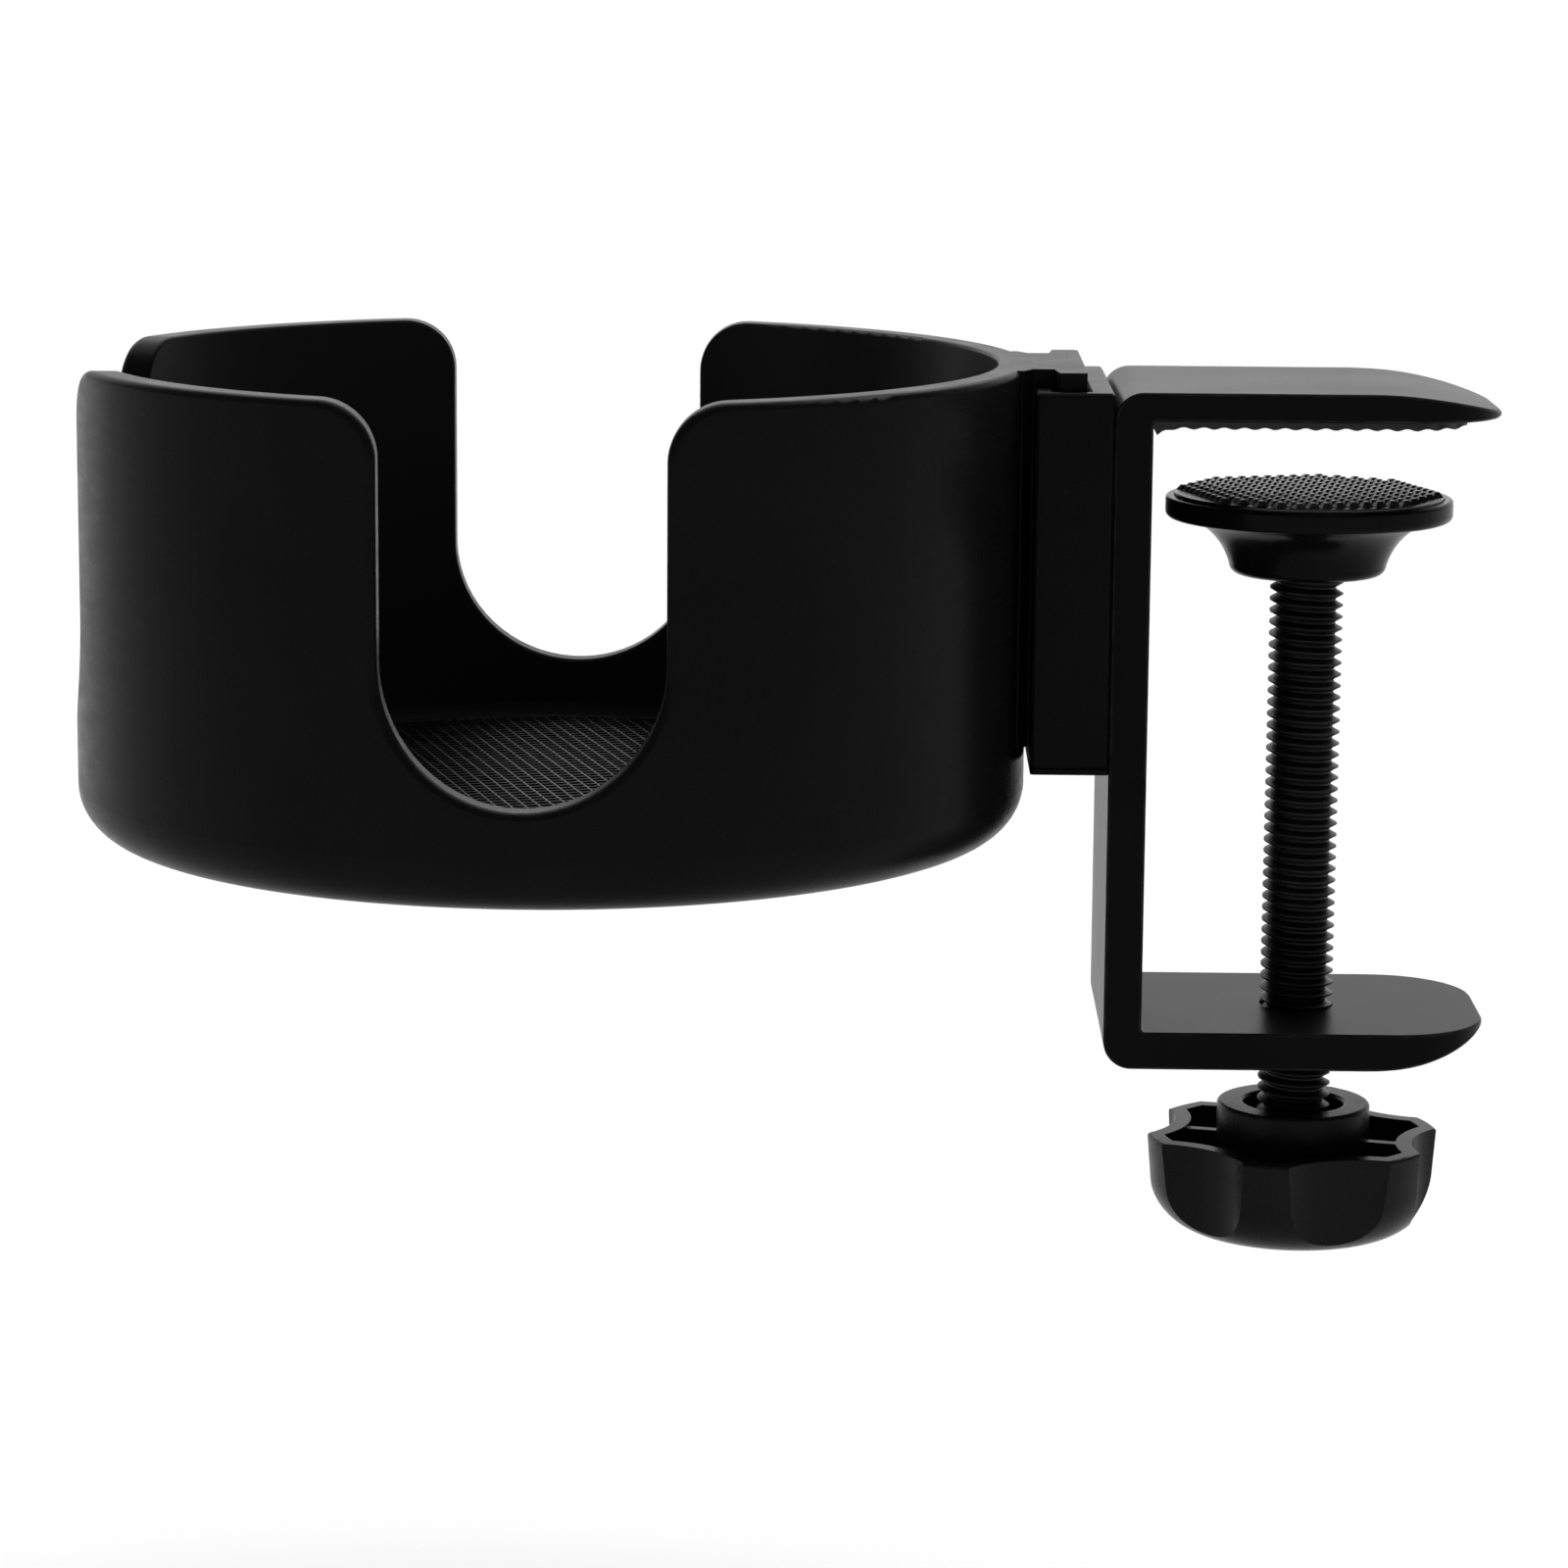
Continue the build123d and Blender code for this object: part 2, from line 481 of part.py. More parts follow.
with BuildPart() as hand_knob:
    with BuildSketch(centre_section) as knob_profile:
        with BuildLine():
            Polyline(
                (0, KNOB_BOTTOM_Z),
                (KNOB_BASE_R, KNOB_BOTTOM_Z),
                (KNOB_R, KNOB_RIM_TOP_Z),
                (0, KNOB_RIM_TOP_Z),
                close=True,
            )
        make_face()
        outer_corner = knob_profile.vertices().sort_by_distance((KNOB_BASE_R, KNOB_BOTTOM_Z, 0))[0]
        fillet(outer_corner, radius=KNOB_BOTTOM_ROUND)
        rim_corner = knob_profile.vertices().sort_by_distance((KNOB_R, KNOB_RIM_TOP_Z, 0))[0]
        fillet(rim_corner, radius=KNOB_EDGE_ROUND)
    revolve(axis=screw_axis)
    with BuildSketch(Plane.XY.offset(KNOB_BOTTOM_Z)):
        with PolarLocations(SCALLOP_FLOOR_R + SCALLOP_R, KNOB_LOBES, start_angle=scallop_angle):
            Circle(SCALLOP_R)
    extrude(amount=KNOB_RIM_TOP_Z - KNOB_BOTTOM_Z, mode=Mode.SUBTRACT)
    add(knob_hollow.part, mode=Mode.SUBTRACT)
    # Ribs from the hub to the middle of each scallop.
    with BuildSketch(Plane.XY.offset(pocket_floor_z)):
        rib_start_r = KNOB_HUB_R - KNOB_WALL
        rib_end_r = SCALLOP_FLOOR_R - KNOB_WALL / 2
        with PolarLocations((rib_start_r + rib_end_r) / 2, KNOB_LOBES, start_angle=scallop_angle):
            Rectangle(rib_end_r - rib_start_r, KNOB_RIB_THICKNESS)
    extrude(amount=KNOB_RIM_TOP_Z - KNOB_RIB_DROP - pocket_floor_z)
    # Hub, with its bore, the nut's socket and the hole for the screw's end.
    with BuildSketch(Plane.XY.offset(pocket_floor_z)):
        Circle(KNOB_HUB_R)
    extrude(amount=KNOB_HUB_TOP_Z - pocket_floor_z)
    with BuildSketch(Plane.XY.offset(SCREW_END_Z)):
        RegularPolygon(NUT_ACROSS_FLATS / 2, 6, major_radius=False, rotation=KNOB_LOBE_ANGLE)
    extrude(amount=NUT_HEIGHT, mode=Mode.SUBTRACT)
    with BuildSketch(Plane.XY.offset(SCREW_END_Z)):
        Circle(KNOB_HUB_BORE_R)
    extrude(amount=KNOB_HUB_TOP_Z - SCREW_END_Z, mode=Mode.SUBTRACT)
    hub_top = hand_knob.faces().sort_by(Axis.Z)[-1]
    fillet(hub_top.edges(), radius=KNOB_HUB_ROUND)
hand_knob.part.label = "hand_knob"

# ------------------------------------------------------------------ export
os.makedirs("parts", exist_ok=True)
PIECES = (
    clamp_bracket,
    jaw_pad,
    slide_channel,
    channel_screws,
    cup_holder,
    floor_mat,
    clamp_screw,
    thrust_washer,
    retaining_washer,
    foot_body,
    foot_rubber,
    knob_insert,
    hand_knob,
)
for piece in PIECES:
    export_step(piece.part, f"parts/{piece.part.label}.step")
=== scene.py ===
"""Looks of the desk clamp cup holder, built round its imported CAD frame.

Everything is in metres in the CAD frame: +Z up along the clamp screw, +X from
the cup towards the desk, origin in the plane of the jaw pad's underside.
"""
import logging
import math
from dataclasses import dataclass
from enum import Enum
from typing import Any, Callable, Sequence

import bmesh
import bpy
from mathutils import Matrix, Vector


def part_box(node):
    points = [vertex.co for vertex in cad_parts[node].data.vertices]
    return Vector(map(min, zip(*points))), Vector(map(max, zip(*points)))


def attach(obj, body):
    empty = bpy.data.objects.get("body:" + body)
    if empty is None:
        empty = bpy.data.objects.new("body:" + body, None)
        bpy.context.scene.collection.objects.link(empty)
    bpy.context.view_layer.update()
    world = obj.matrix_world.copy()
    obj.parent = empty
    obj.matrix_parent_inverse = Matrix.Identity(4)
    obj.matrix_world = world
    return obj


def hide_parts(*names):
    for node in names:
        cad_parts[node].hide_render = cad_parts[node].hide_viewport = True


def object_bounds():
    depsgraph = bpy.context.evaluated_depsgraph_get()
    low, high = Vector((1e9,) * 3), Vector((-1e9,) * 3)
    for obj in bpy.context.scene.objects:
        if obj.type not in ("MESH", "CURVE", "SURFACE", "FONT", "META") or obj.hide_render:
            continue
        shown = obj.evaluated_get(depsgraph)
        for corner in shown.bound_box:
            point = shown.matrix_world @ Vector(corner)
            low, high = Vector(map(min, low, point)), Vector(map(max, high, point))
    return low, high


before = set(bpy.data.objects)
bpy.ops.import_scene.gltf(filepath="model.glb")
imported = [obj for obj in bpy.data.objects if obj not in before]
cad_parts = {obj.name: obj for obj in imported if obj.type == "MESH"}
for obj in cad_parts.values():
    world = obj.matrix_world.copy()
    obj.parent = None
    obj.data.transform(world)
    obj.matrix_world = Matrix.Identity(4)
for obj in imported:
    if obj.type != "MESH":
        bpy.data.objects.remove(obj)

CAD_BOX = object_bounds()
MM = 0.001
WELD = 1e-7
LOG = logging.getLogger("cup_holder_scene")

Pair = tuple[float, float]
Triple = tuple[float, float, float]
Colour = Triple
Socket = bpy.types.NodeSocket
Material = bpy.types.Material
Piece = bpy.types.Object
WorkMesh = bmesh.types.BMesh


class Body(Enum):
    """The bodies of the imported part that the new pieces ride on."""

    CLAMP = "clamp"
    CUP = "cup"
    SCREW = "screw"
    FOOT = "foot"


class Slot(Enum):
    """Material slot names for the new pieces."""

    RUBBER = "rubber"
    MAT_RUBBER = "mat_rubber"
    SCREW_STEEL = "screw_steel"


# ------------------------------------------------------------------ finishes
class ShaderSheet:
    """One material's node tree, with short calls for adding and linking nodes."""

    bevel_samples = 6
    # Cosines of the turn between the rounded and the flat normal, at an edge and away from it.
    edge_turn = (0.86, 0.999)

    def __init__(self, name: str) -> None:
        """Makes an empty material with a Principled shader.

        Args:
            name: The material's name.
        """
        self.material = bpy.data.materials.new(name)
        self.material.use_nodes = True
        self.nodes = self.material.node_tree.nodes
        self.links = self.material.node_tree.links
        self.shader = next(n for n in self.nodes if n.type == "BSDF_PRINCIPLED")

    def add(self, kind: str, settings: dict[str, Any] | None = None, **inputs: Any) -> bpy.types.Node:
        """Adds one node.

        Args:
            kind: The node's type.
            settings: Properties of the node itself.
            inputs: Input values or sockets; an underscore stands for a space.

        Returns:
            The new node.
        """
        node = self.nodes.new(kind)
        for key, value in (settings or {}).items():
            setattr(node, key, value)
        for key, value in inputs.items():
            self.feed(node, key.replace("_", " "), value)
        return node

    def feed(self, node: bpy.types.Node, socket: str | int, value: Any) -> None:
        """Links a socket to an input or sets the input's value.

        Args:
            node: The node that owns the input.
            socket: The input's name or number.
            value: A socket to link, or a plain value.
        """
        if isinstance(value, Socket):
            self.links.new(value, node.inputs[socket])
        else:
            node.inputs[socket].default_value = value

    def noise(self, size: float, detail: float = 2.0, stretch: Triple = (1.0, 1.0, 1.0)) -> Socket:
        """Adds noise on Object coordinates.

        Args:
            size: Size of a typical patch, in metres.
            detail: Number of finer octaves.
            stretch: How much denser the noise is along each axis.

        Returns:
            The noise's factor socket.
        """
        where = self.add("ShaderNodeTexCoord").outputs["Object"]
        mapping = self.add("ShaderNodeMapping", Vector=where, Scale=stretch)
        node = self.add("ShaderNodeTexNoise", Vector=mapping.outputs[0], Scale=1.0 / size, Detail=detail)
        return node.outputs["Fac"]

    def ranged(
        self, value: Socket, low: float, high: float, start: float = 0.3, end: float = 0.7
    ) -> Socket:
        """Maps a value onto a range, clamped at both ends.

        Args:
            value: The socket to map.
            low: Result at and below start.
            high: Result at and above end.
            start: Input that gives low.
            end: Input that gives high.

        Returns:
            The mapped socket.
        """
        node = self.add("ShaderNodeMapRange", Value=value)
        for key, number in (("From Min", start), ("From Max", end), ("To Min", low), ("To Max", high)):
            node.inputs[key].default_value = number
        return node.outputs["Result"]

    def maths(self, operation: str, first: Any, second: Any = 0.0) -> Socket:
        """Adds a Math node.

        Args:
            operation: The Math node's operation.
            first: First value or socket.
            second: Second value or socket.

        Returns:
            The node's result.
        """
        node = self.add("ShaderNodeMath", {"operation": operation})
        self.feed(node, 0, first)
        self.feed(node, 1, second)
        return node.outputs[0]

    def blend(self, factor: Any, first: Any, second: Any) -> Socket:
        """Mixes two colours.

        Args:
            factor: How much of the second colour shows.
            first: First colour or socket.
            second: Second colour or socket.

        Returns:
            The mixed colour.
        """
        node = self.add("ShaderNodeMix", {"data_type": "RGBA"})
        self.feed(node, 0, factor)
        self.feed(node, 6, first)
        self.feed(node, 7, second)
        return node.outputs[2]

    def mottled(self, pattern: Socket, colour: Colour, tone: Pair) -> Socket:
        """Varies a colour by a pattern.

        Args:
            pattern: The pattern's socket.
            colour: The colour to vary.
            tone: Gain of the colour where the pattern is low, and where it is high.

        Returns:
            The varied colour.
        """
        return self.blend(self.ranged(pattern, 0.0, 1.0), rgba(colour, tone[0]), rgba(colour, tone[1]))

    def swung(self, pattern: Socket, middle: float, swing: Pair) -> Socket:
        """Varies a number by a pattern, from middle + swing[0] to middle + swing[1]."""
        return self.ranged(pattern, middle + swing[0], middle + swing[1])

    def edge_mask(self, width: float) -> tuple[Socket, Socket]:
        """Finds the edges and rounds their shading.

        Args:
            width: How far from an edge the rounding reaches, in metres.

        Returns:
            The rounded normal, and a mask that is 1 at an edge and 0 away from it.
        """
        bevel = self.add("ShaderNodeBevel", {"samples": self.bevel_samples}, Radius=width)
        flat = self.add("ShaderNodeNewGeometry").outputs["Normal"]
        dot = self.add("ShaderNodeVectorMath", {"operation": "DOT_PRODUCT"})
        self.feed(dot, 0, bevel.outputs[0])
        self.feed(dot, 1, flat)
        return bevel.outputs[0], self.ranged(dot.outputs["Value"], 1.0, 0.0, *self.edge_turn)

    def inside(self, axis: Pair, radius: float) -> Socket:
        """Masks what lies within a radius of an upright axis.

        Args:
            axis: X and Y of the axis.
            radius: The radius, in metres.

        Returns:
            A mask that is 1 inside the radius and 0 outside it.
        """
        where = self.add("ShaderNodeTexCoord").outputs["Object"]
        parts = self.add("ShaderNodeSeparateXYZ", Vector=where).outputs
        flat = self.add("ShaderNodeCombineXYZ", X=parts[0], Y=parts[1], Z=0.0).outputs[0]
        centre = (axis[0], axis[1], 0.0)
        gap = self.add("ShaderNodeVectorMath", {"operation": "DISTANCE"})
        self.feed(gap, 0, flat)
        self.feed(gap, 1, centre)
        return self.maths("LESS_THAN", gap.outputs["Value"], radius)

    def bumped(self, height: Any, depth: float, normal: Any = None) -> Socket:
        """Adds a Bump node.

        Args:
            height: The height pattern, 0 to 1.
            depth: Its full depth in metres.
            normal: The normal below it, if any.

        Returns:
            The bumped normal.
        """
        node = self.add("ShaderNodeBump", Height=height, Strength=1.0, Distance=depth)
        if normal is not None:
            self.links.new(normal, node.inputs["Normal"])
        return node.outputs[0]

    def finish(self, **inputs: Any) -> Material:
        """Feeds the shader its inputs by name, an underscore standing for a space."""
        for key, value in inputs.items():
            self.feed(self.shader, key.replace("_", " "), value)
        return self.material


def rgba(colour: Colour, gain: float = 1.0) -> tuple[float, float, float, float]:
    """Gives a colour as four numbers, made lighter or darker by gain."""
    return (colour[0] * gain, colour[1] * gain, colour[2] * gain, 1.0)


@dataclass(frozen=True)
class MouldedPlastic:
    """Black moulded plastic with an eroded-mould grain and edges rubbed smooth."""

    name: str
    colour: Colour = (0.0058, 0.0058, 0.006)
    roughness: float = 0.3
    specular: float = 0.035
    patch_size: float = 18.0 * MM
    patch_tone: Pair = (0.82, 1.25)
    flow_size: float = 3.5 * MM
    flow_stretch: Triple = (0.6, 0.6, 2.2)
    flow_swing: Pair = (-0.03, 0.035)
    grain_size: float = 0.22 * MM
    grain_depth: float = 0.012 * MM
    grain_share: float = 0.35
    grain_gain: float = 1.9
    grain_swing: Pair = (-0.03, 0.05)
    edge_width: float = 0.18 * MM
    edge_share: float = 0.5
    edge_gain: float = 2.2
    rubbed: float = 0.12
    # Painted light: how much paler the colour is painted inside the cup, standing in for overhead light on
    # its inner wall.
    inside_painted_light_gain: float = 4.5

    def material(self, axis: Pair = (0.0, 0.0), painted_light_radius: float = 0.0) -> Material:
        """Builds the material, with painted light: a paler colour painted within a radius of an upright
        axis.

        Args:
            axis: X and Y of the upright axis at the centre of the painted light.
            painted_light_radius: Radius within which the colour is painted paler, as painted light standing
                in for light on the cup's inner wall; 0 for a piece without painted light.

        Returns:
            The material.
        """
        sheet = ShaderSheet(self.name)
        normal, edge = sheet.edge_mask(self.edge_width)
        patches = sheet.noise(self.patch_size, 3.0)
        grain = sheet.noise(self.grain_size, 3.0)
        flow = sheet.noise(self.flow_size, 2.0, self.flow_stretch)
        tint = sheet.mottled(patches, self.colour, self.patch_tone)
        specks = sheet.ranged(grain, 0.0, self.grain_share)
        tint = sheet.blend(specks, tint, rgba(self.colour, self.grain_gain))
        worn = sheet.maths("MULTIPLY", edge, self.edge_share)
        tint = sheet.blend(worn, tint, rgba(self.colour, self.edge_gain))
        # Painted light: inside the radius the colour is painted paler, standing in for light on the cup's
        # inner wall.
        if painted_light_radius > 0.0:
            painted_light_tint = rgba(self.colour, self.inside_painted_light_gain)
            tint = sheet.blend(sheet.inside(axis, painted_light_radius), tint, painted_light_tint)
        rough = sheet.swung(flow, self.roughness, self.flow_swing)
        rough = sheet.maths("ADD", rough, sheet.swung(grain, 0.0, self.grain_swing))
        rough = sheet.maths("SUBTRACT", rough, sheet.maths("MULTIPLY", edge, self.rubbed))
        skin = sheet.bumped(grain, self.grain_depth, normal)
        return sheet.finish(Base_Color=tint, Roughness=rough, Normal=skin, Specular_IOR_Level=self.specular)


@dataclass(frozen=True)
class AnodisedAluminium:
    """Satin black anodised aluminium: bead-blast grain, faint clouding, paler edges."""

    name: str
    colour: Colour = (0.0036, 0.0036, 0.0037)
    bare: Colour = (0.11, 0.11, 0.112)
    roughness: float = 0.29
    specular: float = 0.035
    cloud_size: float = 14.0 * MM
    cloud_tone: Pair = (0.85, 1.2)
    cloud_swing: Pair = (-0.02, 0.02)
    bead_size: float = 0.16 * MM
    bead_depth: float = 0.005 * MM
    bead_swing: Pair = (-0.01, 0.02)
    wear_size: float = 2.4 * MM
    wear_share: Pair = (0.15, 0.7)
    wear_span: Pair = (0.4, 0.68)
    edge_width: float = 0.22 * MM
    rubbed: float = 0.08

    def material(self) -> Material:
        """Builds the material."""
        sheet = ShaderSheet(self.name)
        normal, edge = sheet.edge_mask(self.edge_width)
        beads = sheet.noise(self.bead_size, 2.0)
        clouds = sheet.noise(self.cloud_size, 3.0)
        tint = sheet.mottled(clouds, self.colour, self.cloud_tone)
        scuffs = sheet.ranged(sheet.noise(self.wear_size, 4.0), *self.wear_share, *self.wear_span)
        tint = sheet.blend(sheet.maths("MULTIPLY", edge, scuffs), tint, rgba(self.bare))
        rough = sheet.swung(clouds, self.roughness, self.cloud_swing)
        rough = sheet.maths("ADD", rough, sheet.swung(beads, 0.0, self.bead_swing))
        rough = sheet.maths("SUBTRACT", rough, sheet.maths("MULTIPLY", edge, self.rubbed))
        skin = sheet.bumped(beads, self.bead_depth, normal)
        return sheet.finish(Base_Color=tint, Roughness=rough, Normal=skin, Specular_IOR_Level=self.specular)


@dataclass(frozen=True)
class Rubber:
    """Matte black rubber with a dusty, finely pitted skin."""

    name: str
    colour: Colour = (0.006, 0.006, 0.006)
    roughness: float = 0.5
    specular: float = 0.35
    dust_size: float = 4.0 * MM
    dust_gain: float = 2.1
    dust_span: Pair = (0.42, 0.72)
    dust_swing: Pair = (-0.04, 0.1)
    pit_size: float = 0.09 * MM
    pit_depth: float = 0.012 * MM
    pit_swing: Pair = (-0.04, 0.04)

    def material(self) -> Material:
        """Builds the material."""
        sheet = ShaderSheet(self.name)
        pits = sheet.noise(self.pit_size, 2.0)
        dust = sheet.noise(self.dust_size, 5.0)
        settled = sheet.ranged(dust, 0.0, 1.0, *self.dust_span)
        tint = sheet.blend(settled, rgba(self.colour), rgba(self.colour, self.dust_gain))
        rough = sheet.swung(dust, self.roughness, self.dust_swing)
        rough = sheet.maths("ADD", rough, sheet.swung(pits, 0.0, self.pit_swing))
        skin = sheet.bumped(pits, self.pit_depth)
        return sheet.finish(Base_Color=tint, Roughness=rough, Normal=skin, Specular_IOR_Level=self.specular)


@dataclass(frozen=True)
class OxidisedSteel:
    """Black-oxide steel with an oily sheen, turning marks and crests rubbed to bare metal."""

    name: str
    colour: Colour = (0.008, 0.008, 0.0083)
    bare: Colour = (0.12, 0.118, 0.115)
    roughness: float = 0.38
    specular: float = 0.12
    metallic: float = 0.02
    bare_metallic: float = 0.6
    oil_size: float = 6.0 * MM
    oil_tone: Pair = (0.7, 1.4)
    oil_swing: Pair = (-0.06, 0.08)
    mark_size: float = 0.25 * MM
    mark_stretch: Triple = (0.25, 0.25, 3.0)
    mark_depth: float = 0.006 * MM
    mark_swing: Pair = (-0.04, 0.05)
    edge_width: float = 0.1 * MM
    edge_wear: Pair = (0.045, 0.45)
    wear_span: Pair = (0.35, 0.65)

    def material(self) -> Material:
        """Builds the material."""
        sheet = ShaderSheet(self.name)
        normal, edge = sheet.edge_mask(self.edge_width)
        oil = sheet.noise(self.oil_size, 4.0)
        marks = sheet.noise(self.mark_size, 2.0, self.mark_stretch)
        wear = sheet.maths("MULTIPLY", edge, sheet.ranged(oil, *self.edge_wear, *self.wear_span))
        tint = sheet.mottled(oil, self.colour, self.oil_tone)
        tint = sheet.blend(wear, tint, rgba(self.bare))
        rough = sheet.swung(oil, self.roughness, self.oil_swing)
        rough = sheet.maths("ADD", rough, sheet.swung(marks, 0.0, self.mark_swing))
        metal = sheet.maths("ADD", self.metallic, sheet.maths("MULTIPLY", wear, self.bare_metallic))
        skin = sheet.bumped(marks, self.mark_depth, normal)
        sheet.finish(Base_Color=tint, Metallic=metal, Roughness=rough)
        return sheet.finish(Normal=skin, Specular_IOR_Level=self.specular)


@dataclass(frozen=True)
class ZincPlate:
    """Zinc-plated steel with blotchy passivation and fine turning lines."""

    name: str
    colour: Colour = (0.42, 0.42, 0.43)
    bare: Colour = (0.72, 0.72, 0.72)
    roughness: float = 0.38
    blotch_size: float = 2.5 * MM
    blotch_tone: Pair = (0.72, 1.15)
    blotch_swing: Pair = (-0.1, 0.12)
    line_size: float = 0.18 * MM
    line_stretch: Triple = (0.3, 0.3, 2.5)
    line_depth: float = 0.005 * MM
    edge_width: float = 0.15 * MM
    edge_share: float = 0.4

    def material(self) -> Material:
        """Builds the material."""
        sheet = ShaderSheet(self.name)
        normal, edge = sheet.edge_mask(self.edge_width)
        blotch = sheet.noise(self.blotch_size, 4.0)
        lines = sheet.noise(self.line_size, 2.0, self.line_stretch)
        tint = sheet.mottled(blotch, self.colour, self.blotch_tone)
        tint = sheet.blend(sheet.maths("MULTIPLY", edge, self.edge_share), tint, rgba(self.bare))
        rough = sheet.swung(blotch, self.roughness, self.blotch_swing)
        skin = sheet.bumped(lines, self.line_depth, normal)
        return sheet.finish(Base_Color=tint, Roughness=rough, Normal=skin, Metallic=1.0)


@dataclass(frozen=True)
class StudioPaper:
    """Pale matte paper for the floor."""

    name: str
    colour: Colour = (0.86, 0.86, 0.86)
    fibre_size: float = 50.0 * MM
    fibre_tone: Pair = (0.995, 1.005)
    roughness: float = 0.9
    specular: float = 0.1

    def material(self) -> Material:
        """Builds the material."""
        sheet = ShaderSheet(self.name)
        tint = sheet.mottled(sheet.noise(self.fibre_size, 3.0), self.colour, self.fibre_tone)
        return sheet.finish(Base_Color=tint, Roughness=self.roughness, Specular_IOR_Level=self.specular)


# ------------------------------------------------------------ geometry trees
def placed(name: str, data: bpy.types.ID) -> Piece:
    """Makes an object from its data and puts it in the scene."""
    made = bpy.data.objects.new(name, data)
    bpy.context.scene.collection.objects.link(made)
    return made


class GeometryTree:
    """One Geometry Nodes tree with named size inputs, run once to a plain mesh."""

    def __init__(self, name: str) -> None:
        """Makes an empty tree with a geometry output.

        Args:
            name: The tree's name.
        """
        self.name = name
        self.tree = bpy.data.node_groups.new(name, "GeometryNodeTree")
        self.tree.is_modifier = True
        self.tree.interface.new_socket(name="Geometry", in_out="OUTPUT", socket_type="NodeSocketGeometry")
        self.entry = self.tree.nodes.new("NodeGroupInput")
        self.exit = self.tree.nodes.new("NodeGroupOutput")
        self.values: dict[str, float] = {}

    def size(self, name: str, value: float) -> Socket:
        """Adds a named input and remembers its value.

        Args:
            name: The input's name.
            value: The value it is given before the tree runs.

        Returns:
            The input's socket inside the tree.
        """
        socket = self.tree.interface.new_socket(name=name, in_out="INPUT", socket_type="NodeSocketFloat")
        self.values[socket.identifier] = value
        return self.entry.outputs[name]

    def add(
        self, kind: str, settings: dict[str, Any] | None = None, *numbered: Any, **named: Any
    ) -> bpy.types.Node:
        """Adds one node.

        Args:
            kind: The node's type.
            settings: Properties of the node itself.
            numbered: Values or sockets for the first inputs in order; None leaves one as it is.
            named: Values or sockets for inputs by name; an underscore stands for a space.

        Returns:
            The new node.
        """
        node = self.tree.nodes.new(kind)
        for key, value in (settings or {}).items():
            setattr(node, key, value)
        pairs = [(i, v) for i, v in enumerate(numbered) if v is not None]
        pairs += [(key.replace("_", " "), value) for key, value in named.items()]
        for key, value in pairs:
            if isinstance(value, Socket):
                self.tree.links.new(value, node.inputs[key])
            else:
                node.inputs[key].default_value = value
        return node

    def maths(self, operation: str, first: Any, second: Any = 0.0) -> Socket:
        """Adds a Math node and returns its result.

        Args:
            operation: The Math node's operation.
            first: First value or socket.
            second: Second value or socket.

        Returns:
            The node's result.
        """
        return self.add("ShaderNodeMath", {"operation": operation}, first, second).outputs[0]

    def times(self, *factors: Any) -> Socket:
        """Multiplies two or more numbers or sockets."""
        product = factors[0]
        for factor in factors[1:]:
            product = self.maths("MULTIPLY", product, factor)
        return product

    def xyz(self, x: Any = 0.0, y: Any = 0.0, z: Any = 0.0) -> Socket:
        """Joins three numbers or sockets to a vector."""
        return self.add("ShaderNodeCombineXYZ", None, x, y, z).outputs[0]

    def split(self, vector: Socket) -> bpy.types.bpy_prop_collection:
        """Splits a vector socket into its X, Y and Z."""
        return self.add("ShaderNodeSeparateXYZ", None, vector).outputs

    def position(self) -> bpy.types.bpy_prop_collection:
        """Gives the X, Y and Z of each point that a node works on."""
        return self.split(self.add("GeometryNodeInputPosition").outputs[0])

    def joined(self, *parts: Socket) -> Socket:
        """Joins geometries into one.

        Args:
            parts: The geometries.

        Returns:
            The joined geometry.
        """
        node = self.tree.nodes.new("GeometryNodeJoinGeometry")
        for part in parts:
            self.tree.links.new(part, node.inputs[0])
        return node.outputs[0]

    def run(self, geometry: Socket, material: Material, place: Vector) -> Piece:
        """Ends the tree in Realize Instances and Set Material and runs it once.

        Args:
            geometry: The geometry to put out.
            material: The material of the result.
            place: Where the tree's own origin goes; the mesh is moved there.

        Returns:
            A plain mesh object at the origin, with no modifiers.
        """
        real = self.add("GeometryNodeRealizeInstances", None, geometry).outputs[0]
        dressed = self.add("GeometryNodeSetMaterial", None, real, Material=material).outputs[0]
        self.tree.links.new(dressed, self.exit.inputs[0])
        base = placed(self.name, bpy.data.meshes.new(self.name))
        modifier = base.modifiers.new(self.name, "NODES")
        modifier.node_group = self.tree
        for identifier, value in self.values.items():
            modifier[identifier] = value
        evaluated = base.evaluated_get(bpy.context.evaluated_depsgraph_get())
        mesh = bpy.data.meshes.new_from_object(evaluated)
        base.modifiers.remove(modifier)
        base.data = mesh
        mesh.transform(Matrix.Translation(place))
        return base


def mesh_object(
    name: str, build: Callable[[WorkMesh], None], material: Material, smooth_angle: float = 30.0
) -> Piece:
    """Makes a mesh piece whose faces point outwards.

    Args:
        name: The piece's name.
        build: Fills the empty bmesh.
        material: The piece's material.
        smooth_angle: Edges sharper than this, in degrees, stay sharp.

    Returns:
        The new object at the origin.
    """
    work = bmesh.new()
    build(work)
    bmesh.ops.remove_doubles(work, verts=work.verts, dist=WELD)
    bmesh.ops.recalc_face_normals(work, faces=work.faces)
    mesh = bpy.data.meshes.new(name)
    work.to_mesh(mesh)
    work.free()
    made = placed(name, mesh)
    mesh.materials.append(material)
    shade(made, smooth_angle)
    return made


def shade(piece: Piece, smooth_angle: float) -> None:
    """Shades a piece smooth except at edges sharper than an angle in degrees."""
    mesh = piece.data
    for face in mesh.polygons:
        face.use_smooth = True
    mesh.set_sharp_from_angle(angle=math.radians(smooth_angle))


